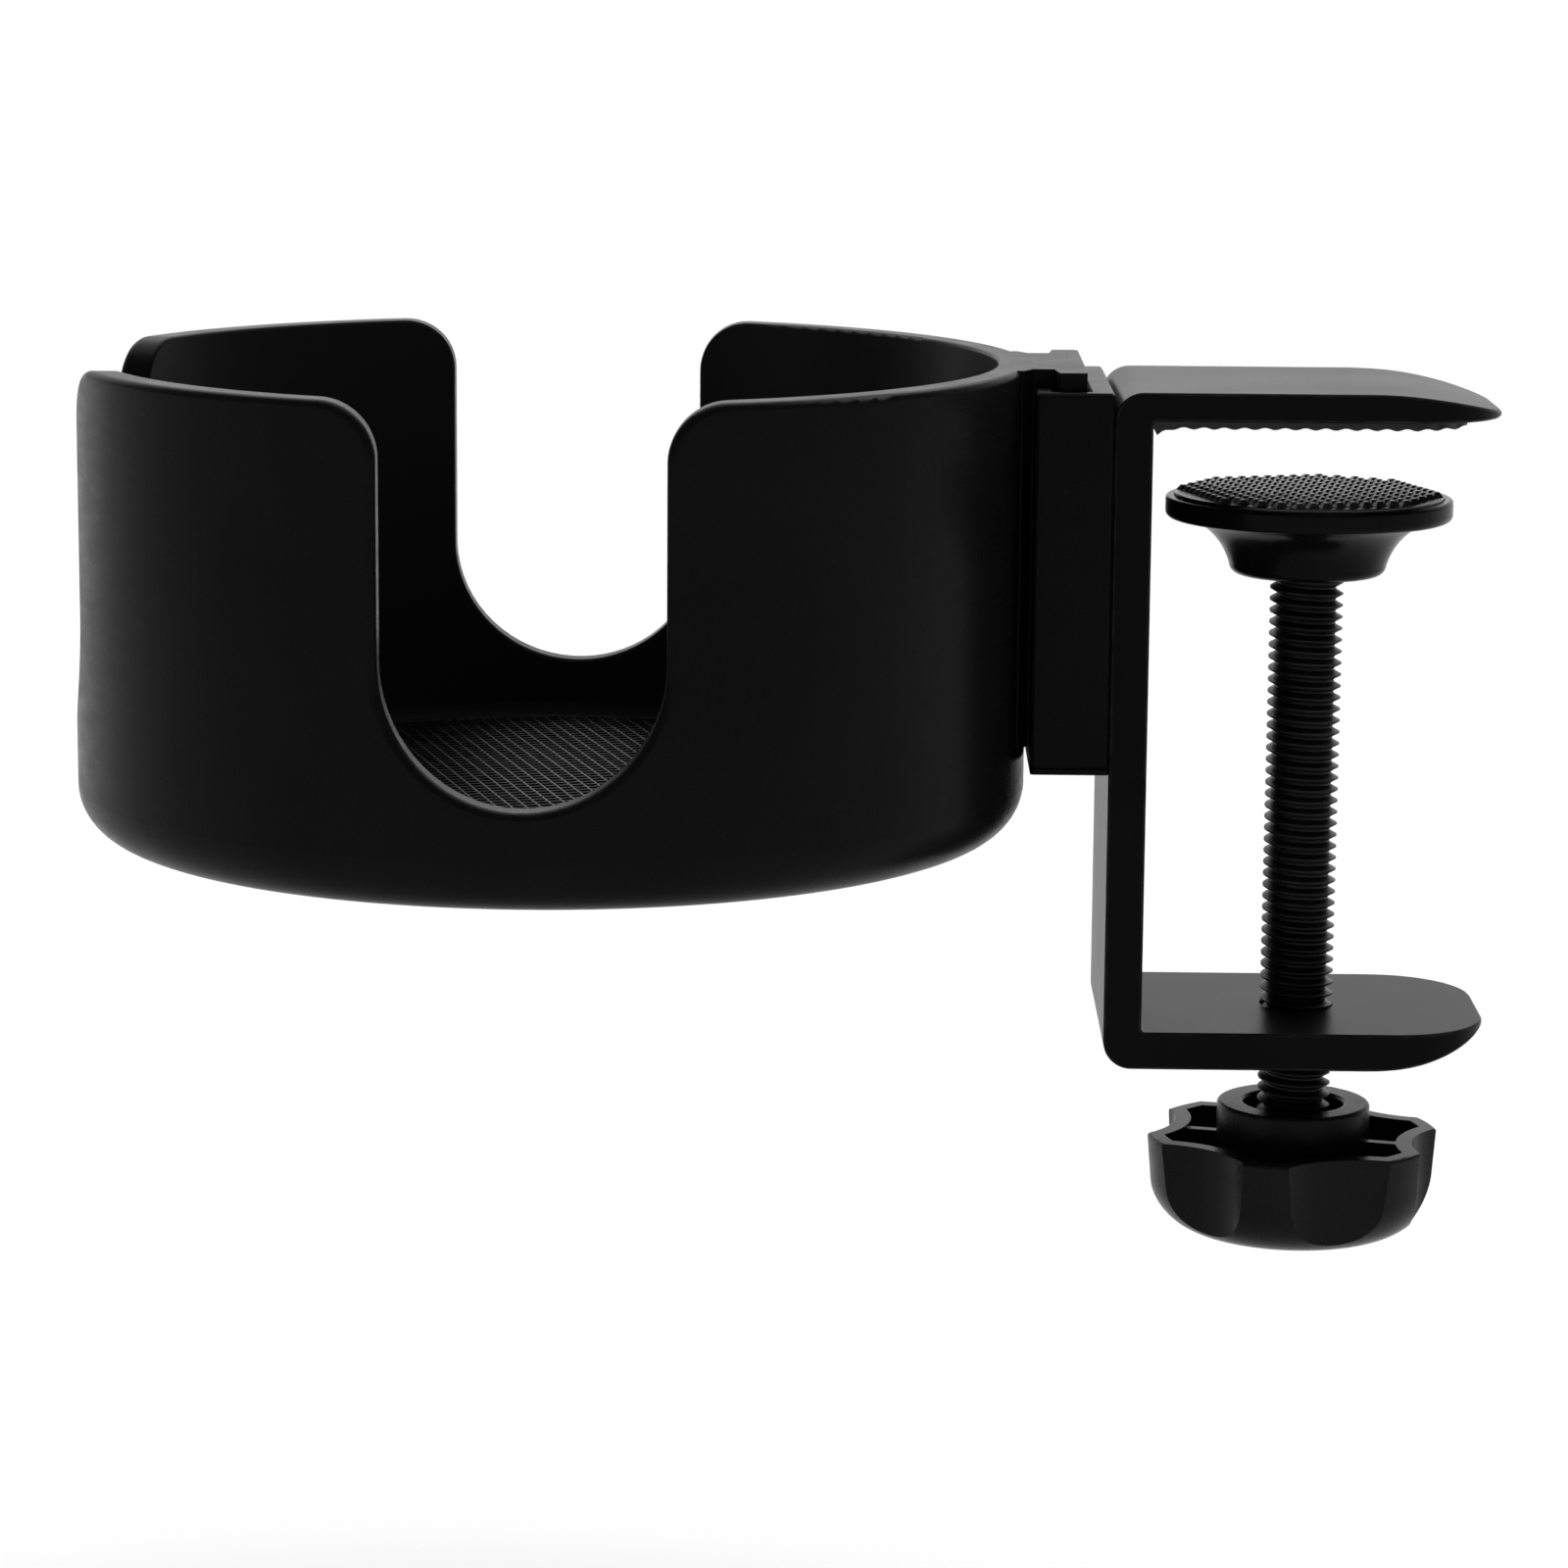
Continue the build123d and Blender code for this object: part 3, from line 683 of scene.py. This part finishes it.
def turned(work: WorkMesh, profile: Sequence[Pair], place: Vector, steps: int) -> None:
    """Adds a solid turned about an upright axis.

    Args:
        work: The bmesh to add to.
        profile: Points of radius and height, in metres, from one end of the axis to the other.
        place: Where the profile's own origin goes.
        steps: Number of segments round the axis.
    """
    rings: list[list[bmesh.types.BMVert]] = []
    for radius, height in profile:
        count = steps if radius > 0.0 else 1
        angles = [2 * math.pi * step / steps for step in range(count)]
        points = [Vector((radius * math.cos(a), radius * math.sin(a), height)) for a in angles]
        rings.append([work.verts.new(place + point) for point in points])
    for lower, upper in zip(rings, rings[1:]):
        for step in range(steps):
            after = (step + 1) % steps
            picks = ((lower, step), (lower, after), (upper, after), (upper, step))
            distinct = list(dict.fromkeys(ring[index % len(ring)] for ring, index in picks))
            if len(distinct) > 2:
                work.faces.new(distinct)


def join(name: str, pieces: Sequence[Piece]) -> Piece:
    """Joins pieces of one body into a single mesh.

    Args:
        name: The joined piece's name.
        pieces: The pieces; all but the first are removed.

    Returns:
        The joined piece.
    """
    work = bmesh.new()
    for piece in pieces:
        work.from_mesh(piece.data)
    mesh = bpy.data.meshes.new(name)
    work.to_mesh(mesh)
    work.free()
    for material in pieces[0].data.materials:
        mesh.materials.append(material)
    made = placed(name, mesh)
    for piece in pieces:
        bpy.data.objects.remove(piece)
    return made


def dress(node: str, material: Material) -> Piece:
    """Gives a CAD node a new material in all its slots.

    Args:
        node: The CAD node's name.
        material: The material.

    Returns:
        The node's object.
    """
    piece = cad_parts[node]
    piece.data.materials.clear()
    piece.data.materials.append(material)
    LOG.info("dressed %s with %s", node, material.name)
    return piece


def fit_in(piece: Piece, body: Body, slot: Slot, *stands_for: str) -> None:
    """Rides a finished piece on its body and hides the CAD nodes it stands for.

    Args:
        piece: The finished piece.
        body: The body it rides on.
        slot: Its material slot; not used.
        stands_for: CAD nodes that it replaces.
    """
    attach(piece, body.value)
    if stands_for:
        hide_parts(*stands_for)
    LOG.info("built %s on %s: %d faces", piece.name, body.value, len(piece.data.polygons))


# ------------------------------------------------------------ sub-assemblies
@dataclass
class Cup:
    """The open cup with its notches and T flange, and the waffle mat on its floor."""

    pitch: float = 1.5 * MM
    turn: float = math.radians(17.0)
    ridge_width: float = 0.42 * MM
    ridge_top: float = 0.2 * MM
    ridge_height: float = 0.45 * MM
    ridge_bury: float = 0.1
    border_width: float = 1.1 * MM
    underside_chamfer: Pair = (0.3 * MM, 0.25 * MM)
    edge_round: float = 0.35 * MM
    edge_middle: Pair = (0.12 * MM, 0.1 * MM)
    border_slope: Triple = (0.1 * MM, 0.15 * MM, 0.4 * MM)
    slope_foot: float = 0.05 * MM
    wall: float = 3.4 * MM
    mask_margin: float = 0.05 * MM
    plastic: MouldedPlastic = MouldedPlastic("cup_plastic", colour=(0.005, 0.005, 0.0052))
    rubber: Rubber = Rubber("mat_rubber", colour=(0.0035, 0.0035, 0.0035), roughness=0.36, specular=0.13)

    def build(self) -> None:
        """Dresses the cup and builds the mat."""
        low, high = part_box("floor_mat")
        cup_low, cup_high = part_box("cup_holder")
        axis = ((low.x + high.x) / 2, (low.y + high.y) / 2)
        # The cup's inner radius; inside it the cup plastic is painted paler, as painted light on the inner
        # wall.
        painted_light_radius = (cup_high.y - cup_low.y) / 2 - self.wall
        dress("cup_holder", self.plastic.material(axis, painted_light_radius + self.mask_margin))
        mat = self.mat(low, high, self.rubber.material())
        fit_in(mat, Body.CUP, Slot.MAT_RUBBER, "floor_mat")

    def mat(self, low: Vector, high: Vector, material: Material) -> Piece:
        """Builds the mat: a thin disc with a smooth border, and its crossing ridges.

        Args:
            low: Lowest corner of the CAD mat.
            high: Highest corner of the CAD mat.
            material: The mat's material.

        Returns:
            The mat.
        """
        radius = (high.x - low.x) / 2
        border = radius - self.border_width
        floor_z = high.z - self.ridge_height
        chamfer_in, chamfer_up = self.underside_chamfer
        middle_in, middle_down = self.edge_middle
        slope_top, slope_low, slope_end = self.border_slope
        profile = [
            (0.0, low.z),
            (radius - chamfer_in, low.z),
            (radius, low.z + chamfer_up),
            (radius, high.z - self.edge_round),
            (radius - middle_in, high.z - middle_down),
            (radius - self.edge_round, high.z),
            (border + slope_top, high.z),
            (border - slope_low, floor_z + self.slope_foot),
            (border - slope_end, floor_z),
            (0.0, floor_z),
        ]
        centre = Vector(((low.x + high.x) / 2, (low.y + high.y) / 2, 0.0))
        disc = mesh_object("mat_disc", lambda work: turned(work, profile, centre, steps=192), material)
        ridges = self.ridges(border, material, centre + Vector((0.0, 0.0, floor_z)))
        return join("waffle_mat", [disc, ridges])

    def ridges(self, reach_radius: float, material: Material, place: Vector) -> Piece:
        """Builds the two families of ridges that cross at right angles.

        Args:
            reach_radius: How far from the mat's centre they run.
            material: The mat's material.
            place: The mat's centre, at the ridges' foot.

        Returns:
            The ridges.
        """
        tree = GeometryTree("mat_ridges")
        reach = tree.size("Ridge Reach", reach_radius)
        pitch = tree.size("Pitch", self.pitch)
        bar = self.ridge(tree)
        rows_a_side = tree.maths("FLOOR", tree.maths("DIVIDE", reach, pitch))
        count = tree.maths("ADD", tree.times(rows_a_side, 2.0), 1.0)
        start = tree.xyz(tree.times(rows_a_side, pitch, -1.0))
        step = tree.xyz(pitch)
        line = tree.add(
            "GeometryNodeMeshLine", {"mode": "OFFSET"}, Count=count, Start_Location=start, Offset=step
        ).outputs[0]
        across = tree.position()[0]
        squares = tree.maths("SUBTRACT", tree.times(reach, reach), tree.times(across, across))
        chord = tree.maths("SQRT", squares)
        length = tree.xyz(1.0, chord, 1.0)
        rows = tree.add("GeometryNodeInstanceOnPoints", None, line, Instance=bar, Scale=length).outputs[0]
        families = [
            tree.add("GeometryNodeTransform", None, rows, Rotation=(0.0, 0.0, angle)).outputs[0]
            for angle in (self.turn, self.turn + math.pi / 2)
        ]
        return tree.run(tree.joined(*families), material, place)

    def ridge(self, tree: GeometryTree) -> Socket:
        """Builds one ridge along Y, from -1 to 1 in length, with a narrower crest.

        Args:
            tree: The tree to add to.

        Returns:
            The ridge's geometry.
        """
        width = tree.size("Foot Width", self.ridge_width)
        top = tree.size("Crest Width", self.ridge_top)
        height = tree.size("Height", self.ridge_height)
        cube = tree.add("GeometryNodeMeshCube", None, Size=(1.0, 2.0, 1.0)).outputs[0]
        x, y, z = tree.position()
        raised = tree.maths("ADD", z, 0.5)
        spread = tree.maths("ADD", width, tree.times(raised, tree.maths("SUBTRACT", top, width)))
        grown = tree.times(raised, tree.times(height, 1.0 + self.ridge_bury))
        lifted = tree.maths("SUBTRACT", grown, tree.times(height, self.ridge_bury))
        place = tree.xyz(tree.times(x, spread), y, lifted)
        return tree.add("GeometryNodeSetPosition", None, cube, Position=place).outputs[0]


@dataclass
class Clamp:
    """The C bracket, its ribbed jaw pad, and the slide channel with its screws."""

    rib_pitch: float = 2.1 * MM
    rib_depth: float = 0.22 * MM
    steps_a_rib: int = 12
    steps_across: int = 24
    pad_tip_radius: float = 7.0 * MM
    tip_share: float = 0.999
    heel_curl: float = 0.7 * MM
    heel_length: float = 2.4 * MM
    aluminium: AnodisedAluminium = AnodisedAluminium("bracket_coat")
    plastic: MouldedPlastic = MouldedPlastic(
        "channel_plastic", colour=(0.0038, 0.0038, 0.0039), roughness=0.28, grain_depth=0.005 * MM
    )
    rubber: Rubber = Rubber("jaw_rubber")
    steel: OxidisedSteel = OxidisedSteel("socket_screw_steel")

    def build(self) -> None:
        """Dresses the bracket, channel and screws and builds the jaw pad."""
        dress("clamp_bracket", self.aluminium.material())
        dress("slide_channel", self.plastic.material())
        dress("channel_screws", self.steel.material())
        pad = self.jaw_pad(*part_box("jaw_pad"), self.rubber.material())
        fit_in(pad, Body.CLAMP, Slot.RUBBER, "jaw_pad")

    def jaw_pad(self, low: Vector, high: Vector, material: Material) -> Piece:
        """Builds the pad: a thin sheet whose underside is moulded in round ribs across it.

        Args:
            low: Lowest corner of the CAD pad.
            high: Highest corner of the CAD pad.
            material: The pad's material.

        Returns:
            The pad.
        """
        size = high - low
        tree = GeometryTree("jaw_pad_ribs")
        columns = round(size.x / self.rib_pitch * self.steps_a_rib)
        sheet = tree.add("GeometryNodeMeshGrid", None, size.x, size.y, columns, self.steps_across).outputs[0]
        x, y, _ = tree.position()
        moulded = tree.xyz(x, self.flank(tree, size, x, y), self.underside(tree, size.x, x))
        skin = tree.add("GeometryNodeSetPosition", None, sheet, Position=moulded).outputs[0]
        walls = tree.add(
            "GeometryNodeExtrudeMesh",
            {"mode": "FACES"},
            skin,
            Offset=(0.0, 0.0, 1.0),
            Offset_Scale=size.z,
            Individual=False,
        ).outputs
        x, y, _ = tree.position()
        upper = tree.xyz(x, y, size.z)
        levelled = tree.add("GeometryNodeSetPosition", None, walls[0], walls[1], upper).outputs[0]
        flipped = tree.add("GeometryNodeFlipFaces", None, skin).outputs[0]
        both = tree.joined(levelled, flipped)
        merged = tree.add("GeometryNodeMergeByDistance", None, both, Distance=WELD).outputs[0]
        made = tree.run(merged, material, Vector(((low.x + high.x) / 2, (low.y + high.y) / 2, low.z)))
        made.name = "ribbed_jaw_pad"
        shade(made, smooth_angle=50.0)
        return made

    def flank(self, tree: GeometryTree, size: Vector, x: Socket, y: Socket) -> Socket:
        """Pulls the sheet's edge rows inwards, which rounds the corners under the plate's tip.

        Args:
            tree: The tree to add to.
            size: The pad's size.
            x: Each point's X.
            y: Each point's Y.

        Returns:
            Each point's new Y.
        """
        corner = self.pad_tip_radius
        past = tree.maths("MAXIMUM", tree.maths("SUBTRACT", x, size.x / 2 - corner), 0.0)
        # A little less than the whole arc is used, so that the last row keeps a width.
        used = tree.times(past, past, self.tip_share)
        arc = tree.maths("SQRT", tree.maths("SUBTRACT", corner * corner, used))
        half = tree.maths("SUBTRACT", size.y / 2, tree.maths("SUBTRACT", corner, arc))
        return tree.times(tree.maths("DIVIDE", y, size.y / 2), half)

    def underside(self, tree: GeometryTree, length: float, x: Socket) -> Socket:
        """Moulds the ribs and curls the heel away from the plate where it meets the spine.

        Args:
            tree: The tree to add to.
            length: The pad's length.
            x: Each point's X.

        Returns:
            Each point's new Z.
        """
        pitch = tree.size("Rib Pitch", self.rib_pitch)
        depth = tree.size("Rib Depth", self.rib_depth)
        curl = tree.size("Heel Curl", self.heel_curl)
        reach = tree.size("Heel Length", self.heel_length)
        wave = tree.maths("COSINE", tree.times(tree.maths("DIVIDE", x, pitch), 2 * math.pi))
        valley = tree.times(tree.maths("SUBTRACT", 1.0, wave), tree.times(depth, 0.5))
        from_heel = tree.maths("DIVIDE", tree.maths("ADD", x, length / 2), reach)
        bend = tree.maths("MAXIMUM", tree.maths("SUBTRACT", 1.0, from_heel), 0.0)
        return tree.maths("SUBTRACT", valley, tree.times(bend, bend, curl))


@dataclass
class Screw:
    """The M8 clamp screw with its cut thread, and the nut moulded into the knob."""

    pitch: float = 1.25 * MM
    crest_radius: float = 3.92 * MM
    root_radius: float = 3.16 * MM
    crest_flat: float = 0.16 * MM
    root_flat: float = 0.24 * MM
    bury: float = 0.25 * MM
    thread_inset: float = 0.7 * MM
    steps_per_turn: int = 48
    end_chamfer: float = 0.4 * MM
    spigot_radius: float = 2.5 * MM
    rivet_radius: float = 3.6 * MM
    rivet_chamfer: float = 0.5 * MM
    rivet_belly: Pair = (0.15 * MM, 0.18 * MM)
    steel: OxidisedSteel = OxidisedSteel("screw_steel")
    zinc: ZincPlate = ZincPlate("nut_zinc")

    def build(self) -> None:
        """Builds the threaded rod and dresses the nut."""
        low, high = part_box("clamp_screw")
        shoulder_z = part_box("thrust_washer")[0].z
        material = self.steel.material()
        core = self.core(low.z, shoulder_z, high.z, material)
        rod = join("threaded_rod", [core, self.thread(low.z, shoulder_z, material)])
        shade(rod, smooth_angle=40.0)
        fit_in(rod, Body.SCREW, Slot.SCREW_STEEL, "clamp_screw")
        dress("knob_insert", self.zinc.material())

    def core(self, bottom_z: float, shoulder_z: float, top_z: float, material: Material) -> Piece:
        """Builds the rod's core with its spigot and rivet head.

        Args:
            bottom_z: Lower end of the rod.
            shoulder_z: The shoulder that bears on the thrust washer.
            top_z: Top of the rivet head.
            material: The rod's material.

        Returns:
            The core.
        """
        rivet_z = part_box("retaining_washer")[1].z
        belly_in, belly_down = self.rivet_belly
        profile = [
            (0.0, bottom_z),
            (self.root_radius - self.end_chamfer, bottom_z),
            (self.root_radius, bottom_z + self.end_chamfer),
            (self.root_radius, shoulder_z),
            (self.spigot_radius, shoulder_z),
            (self.spigot_radius, rivet_z),
            (self.rivet_radius, rivet_z),
            (self.rivet_radius, top_z - self.rivet_chamfer),
            (self.rivet_radius - belly_in, top_z - belly_down),
            (self.rivet_radius - self.rivet_chamfer, top_z),
            (0.0, top_z),
        ]
        return mesh_object("screw_core", lambda work: turned(work, profile, Vector(), steps=64), material)

    def thread(self, bottom_z: float, shoulder_z: float, material: Material) -> Piece:
        """Winds the thread's ridge round the core as a right-hand helix.

        Args:
            bottom_z: Lower end of the rod.
            shoulder_z: Upper end of the rod's thread.
            material: The rod's material.

        Returns:
            The helical ridge.
        """
        tree = GeometryTree("screw_thread")
        pitch = tree.size("Pitch", self.pitch)
        root = tree.size("Root Radius", self.root_radius)
        crest = tree.size("Crest Radius", self.crest_radius)
        turns = float(math.floor((shoulder_z - bottom_z - 2 * self.thread_inset) / self.pitch))
        spiral = tree.add(
            "GeometryNodeCurveSpiral",
            None,
            Resolution=self.steps_per_turn,
            Rotations=turns,
            Start_Radius=root,
            End_Radius=root,
            Height=tree.times(pitch, turns),
        ).outputs[0]
        upright = tree.add("GeometryNodeSetCurveNormal", {"mode": "Z_UP"}, spiral).outputs[0]
        foot_half = (self.pitch - self.root_flat) / 2
        crest_half = self.crest_flat / 2
        slope = (foot_half - crest_half) / (self.crest_radius - self.root_radius)
        deep_half = foot_half + slope * self.bury
        rise = tree.maths("SUBTRACT", root, crest)
        outline = tree.add(
            "GeometryNodeCurvePrimitiveQuadrilateral",
            {"mode": "POINTS"},
            Point_1=(self.bury, -deep_half, 0.0),
            Point_2=tree.xyz(rise, -crest_half),
            Point_3=tree.xyz(rise, crest_half),
            Point_4=(self.bury, deep_half, 0.0),
        ).outputs[0]
        ridge = tree.add("GeometryNodeCurveToMesh", None, upright, outline, Fill_Caps=True).outputs[0]
        return tree.run(ridge, material, Vector((0.0, 0.0, bottom_z + self.thread_inset)))


@dataclass
class Foot:
    """The loose swivel foot with its riveted washers and knurled rubber disc."""

    stud_pitch: float = 1.5 * MM
    stud_turn: float = math.radians(17.0)
    stud_radius: float = 0.92 * MM
    stud_top: float = 0.36 * MM
    stud_height: float = 0.55 * MM
    stud_sink: float = 0.02 * MM
    stud_rows: int = 41
    bare_rim: float = 0.8 * MM
    seat_chamfer: float = 0.2 * MM
    face_chamfer: float = 0.12 * MM
    plastic: MouldedPlastic = MouldedPlastic(
        "foot_plastic",
        colour=(0.0028, 0.0028, 0.0029),
        roughness=0.2,
        specular=0.045,
        grain_depth=0.001 * MM,
        grain_size=0.5 * MM,
    )
    rubber: Rubber = Rubber("foot_rubber", colour=(0.0045, 0.0045, 0.0045), roughness=0.24, specular=0.75)
    zinc: ZincPlate = ZincPlate("washer_zinc")

    def build(self) -> None:
        """Dresses the foot and washers and builds the rubber disc."""
        dress("foot_body", self.plastic.material())
        zinc = self.zinc.material()
        dress("thrust_washer", zinc)
        dress("retaining_washer", zinc)
        disc = self.disc(*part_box("foot_rubber"), self.rubber.material())
        fit_in(disc, Body.FOOT, Slot.RUBBER, "foot_rubber")

    def disc(self, low: Vector, high: Vector, material: Material) -> Piece:
        """Builds the rubber disc with rows of blunt pyramids on its face.

        Args:
            low: Lowest corner of the CAD disc.
            high: Highest corner of the CAD disc.
            material: The disc's material.

        Returns:
            The disc.
        """
        seat, radius = low.z, (high.x - low.x) / 2
        face = high.z - self.stud_height
        profile = [
            (0.0, seat),
            (radius - self.seat_chamfer, seat),
            (radius, seat + self.seat_chamfer),
            (radius, face - self.face_chamfer),
            (radius - self.face_chamfer, face),
            (0.0, face),
        ]
        disc = mesh_object("rubber_disc", lambda work: turned(work, profile, Vector(), steps=160), material)
        studs = self.studs(radius - self.bare_rim, material, face - self.stud_sink)
        return join("knurled_disc", [disc, studs])

    def studs(self, reach_radius: float, material: Material, foot_z: float) -> Piece:
        """Builds the studs on a turned square lattice, cut off at a radius.

        Args:
            reach_radius: Studs whose centre is farther out are left away.
            material: The disc's material.
            foot_z: Height of the studs' lower end.

        Returns:
            The studs.
        """
        tree = GeometryTree("disc_studs")
        reach = tree.size("Stud Reach", reach_radius)
        foot_radius = tree.size("Stud Foot", self.stud_radius)
        top_radius = tree.size("Stud Top", self.stud_top)
        height = tree.size("Stud Height", self.stud_height)
        pitch = tree.size("Stud Pitch", self.stud_pitch)
        rows = self.stud_rows
        grid = tree.add("GeometryNodeMeshGrid", None, rows - 1.0, rows - 1.0, rows, rows).outputs[0]
        i, j, _ = tree.position()
        along = tree.times(pitch, math.cos(self.stud_turn))
        aside = tree.times(pitch, math.sin(self.stud_turn))
        x = tree.maths("SUBTRACT", tree.times(i, along), tree.times(j, aside))
        y = tree.maths("ADD", tree.times(i, aside), tree.times(j, along))
        lattice = tree.add("GeometryNodeSetPosition", None, grid, Position=tree.xyz(x, y)).outputs[0]
        where = tree.add("GeometryNodeInputPosition").outputs[0]
        distance = tree.add("ShaderNodeVectorMath", {"operation": "LENGTH"}, where).outputs["Value"]
        farther = {"data_type": "FLOAT", "operation": "GREATER_THAN"}
        outside = tree.add("FunctionNodeCompare", farther, distance, reach).outputs[0]
        kept = tree.add("GeometryNodeDeleteGeometry", {"domain": "POINT"}, lattice, outside).outputs[0]
        stud = tree.add(
            "GeometryNodeMeshCone",
            {"fill_type": "NGON"},
            Vertices=4,
            Radius_Top=top_radius,
            Radius_Bottom=foot_radius,
            Depth=height,
        ).outputs[0]
        turn = (0.0, 0.0, self.stud_turn + math.pi / 4)
        studs = tree.add("GeometryNodeInstanceOnPoints", None, kept, Instance=stud, Rotation=turn).outputs[0]
        return tree.run(studs, material, Vector((0.0, 0.0, foot_z)))


@dataclass
class Knob:
    """The lobed hand knob."""

    plastic: MouldedPlastic = MouldedPlastic(
        "knob_plastic", colour=(0.0075, 0.0075, 0.0077), roughness=0.26, specular=0.06, grain_depth=0.01 * MM
    )

    def build(self) -> None:
        """Dresses the knob."""
        dress("hand_knob", self.plastic.material())


@dataclass(frozen=True)
class SoftPanel:
    """One soft rectangular light that stands beside and behind the holder."""

    name: str
    place: Triple
    aim: Triple
    watts: float
    size: Pair = (0.5, 0.9)

    def build(self) -> None:
        """Adds the light."""
        light = bpy.data.lights.new(self.name, "AREA")
        light.shape = "RECTANGLE"
        light.size, light.size_y = self.size
        light.energy = self.watts
        lamp = placed(self.name, light)
        lamp.location = self.place
        lamp.rotation_euler = (Vector(self.aim) - Vector(self.place)).to_track_quat("-Z", "Y").to_euler()


@dataclass
class Studio:
    """Pale floor, soft light and the camera."""

    floor_drop: float = 55.0 * MM
    floor_half: float = 9.0
    glow_span: Pair = (0.3, 0.88)
    glow: Pair = (0.12, 1.15)
    overhead_strength: float = 3.1
    overhead_spread: float = 70.0
    overhead_tip: Pair = (-28.0, 6.0)
    panels: tuple[SoftPanel, ...] = (
        SoftPanel("left_panel", (-0.62, 0.72, 0.15), (-0.08, 0.0, -0.02), 0.85),
        SoftPanel("right_panel", (0.8, 0.62, 0.2), (0.0, 0.0, -0.04), 0.12),
    )
    camera_place: Triple = (-0.047567, -0.52108, 0.054702)
    turn_deg: float = -0.907
    down_deg: float = 10.340
    roll_deg: float = 0.422
    lens: float = 112.564
    sensor: float = 36.0
    clip: Pair = (0.01, 50.0)
    paper: StudioPaper = StudioPaper("studio_paper")

    def build(self) -> None:
        """Builds the floor, lights, surroundings and camera."""
        self.floor()
        self.surroundings()
        self.overhead()
        for panel in self.panels:
            panel.build()
        self.camera()

    def floor(self) -> None:
        """Builds the floor as a wide flat sheet."""
        level = CAD_BOX[0].z - self.floor_drop

        def fill(work: WorkMesh) -> None:
            """Adds the sheet's four corners."""
            half = self.floor_half
            corners = [(-half, -half), (half, -half), (half, half), (-half, half)]
            work.faces.new([work.verts.new((x, y, level)) for x, y in corners])

        sheet = mesh_object("studio_floor", fill, self.paper.material())
        if sheet.data.polygons[0].normal.z < 0:
            sheet.data.flip_normals()

    def surroundings(self) -> None:
        """Lights the scene from all round, more from behind than from in front."""
        world = bpy.data.worlds.new("studio_world")
        bpy.context.scene.world = world
        world.use_nodes = True
        nodes, links = world.node_tree.nodes, world.node_tree.links
        background = next(n for n in nodes if n.type == "BACKGROUND")
        where = nodes.new("ShaderNodeTexCoord")
        parts = nodes.new("ShaderNodeSeparateXYZ")
        links.new(where.outputs["Generated"], parts.inputs[0])
        ramp = nodes.new("ShaderNodeMapRange")
        ramp.interpolation_type = "SMOOTHSTEP"
        for key, value in zip(("From Min", "From Max", "To Min", "To Max"), self.glow_span + self.glow):
            ramp.inputs[key].default_value = value
        links.new(parts.outputs[1], ramp.inputs["Value"])
        rays = nodes.new("ShaderNodeLightPath")
        seen = nodes.new("ShaderNodeMix")
        links.new(rays.outputs["Is Camera Ray"], seen.inputs[0])
        links.new(ramp.outputs["Result"], seen.inputs[2])
        seen.inputs[3].default_value = 1.0
        background.inputs[0].default_value = (1.0, 1.0, 1.0, 1.0)
        links.new(seen.outputs[0], background.inputs[1])

    def overhead(self) -> None:
        """Adds the broad even light from above."""
        light = bpy.data.lights.new("overhead", "SUN")
        light.energy = self.overhead_strength
        light.angle = math.radians(self.overhead_spread)
        lamp = placed("overhead", light)
        lamp.rotation_euler = (*(math.radians(tip) for tip in self.overhead_tip), 0.0)

    def camera(self) -> None:
        """Adds the camera: turned about Z, tipped down, then rolled about its own axis."""
        turn, down, roll = (math.radians(a) for a in (self.turn_deg, self.down_deg, self.roll_deg))
        forward = Vector((math.sin(turn) * math.cos(down), math.cos(turn) * math.cos(down), -math.sin(down)))
        level = Vector((math.cos(turn), -math.sin(turn), 0.0))
        above = level.cross(forward)
        right = level * math.cos(roll) + above * math.sin(roll)
        up = above * math.cos(roll) - level * math.sin(roll)
        data = bpy.data.cameras.new("studio_camera")
        data.lens = self.lens
        data.sensor_width = self.sensor
        data.clip_start, data.clip_end = self.clip
        lens = placed("studio_camera", data)
        axes = Matrix((right, up, -forward)).transposed().to_4x4()
        lens.matrix_world = Matrix.Translation(self.camera_place) @ axes
        bpy.context.scene.camera = lens
        bpy.context.scene.view_settings.view_transform = "Standard"


def main() -> None:
    """Builds every sub-assembly in order, then the studio."""
    logging.basicConfig(level=logging.INFO, format="%(name)s: %(message)s")
    for part in (Cup(), Clamp(), Screw(), Foot(), Knob(), Studio()):
        LOG.info("building %s", type(part).__name__)
        part.build()


if __name__ == "__main__":
    main()
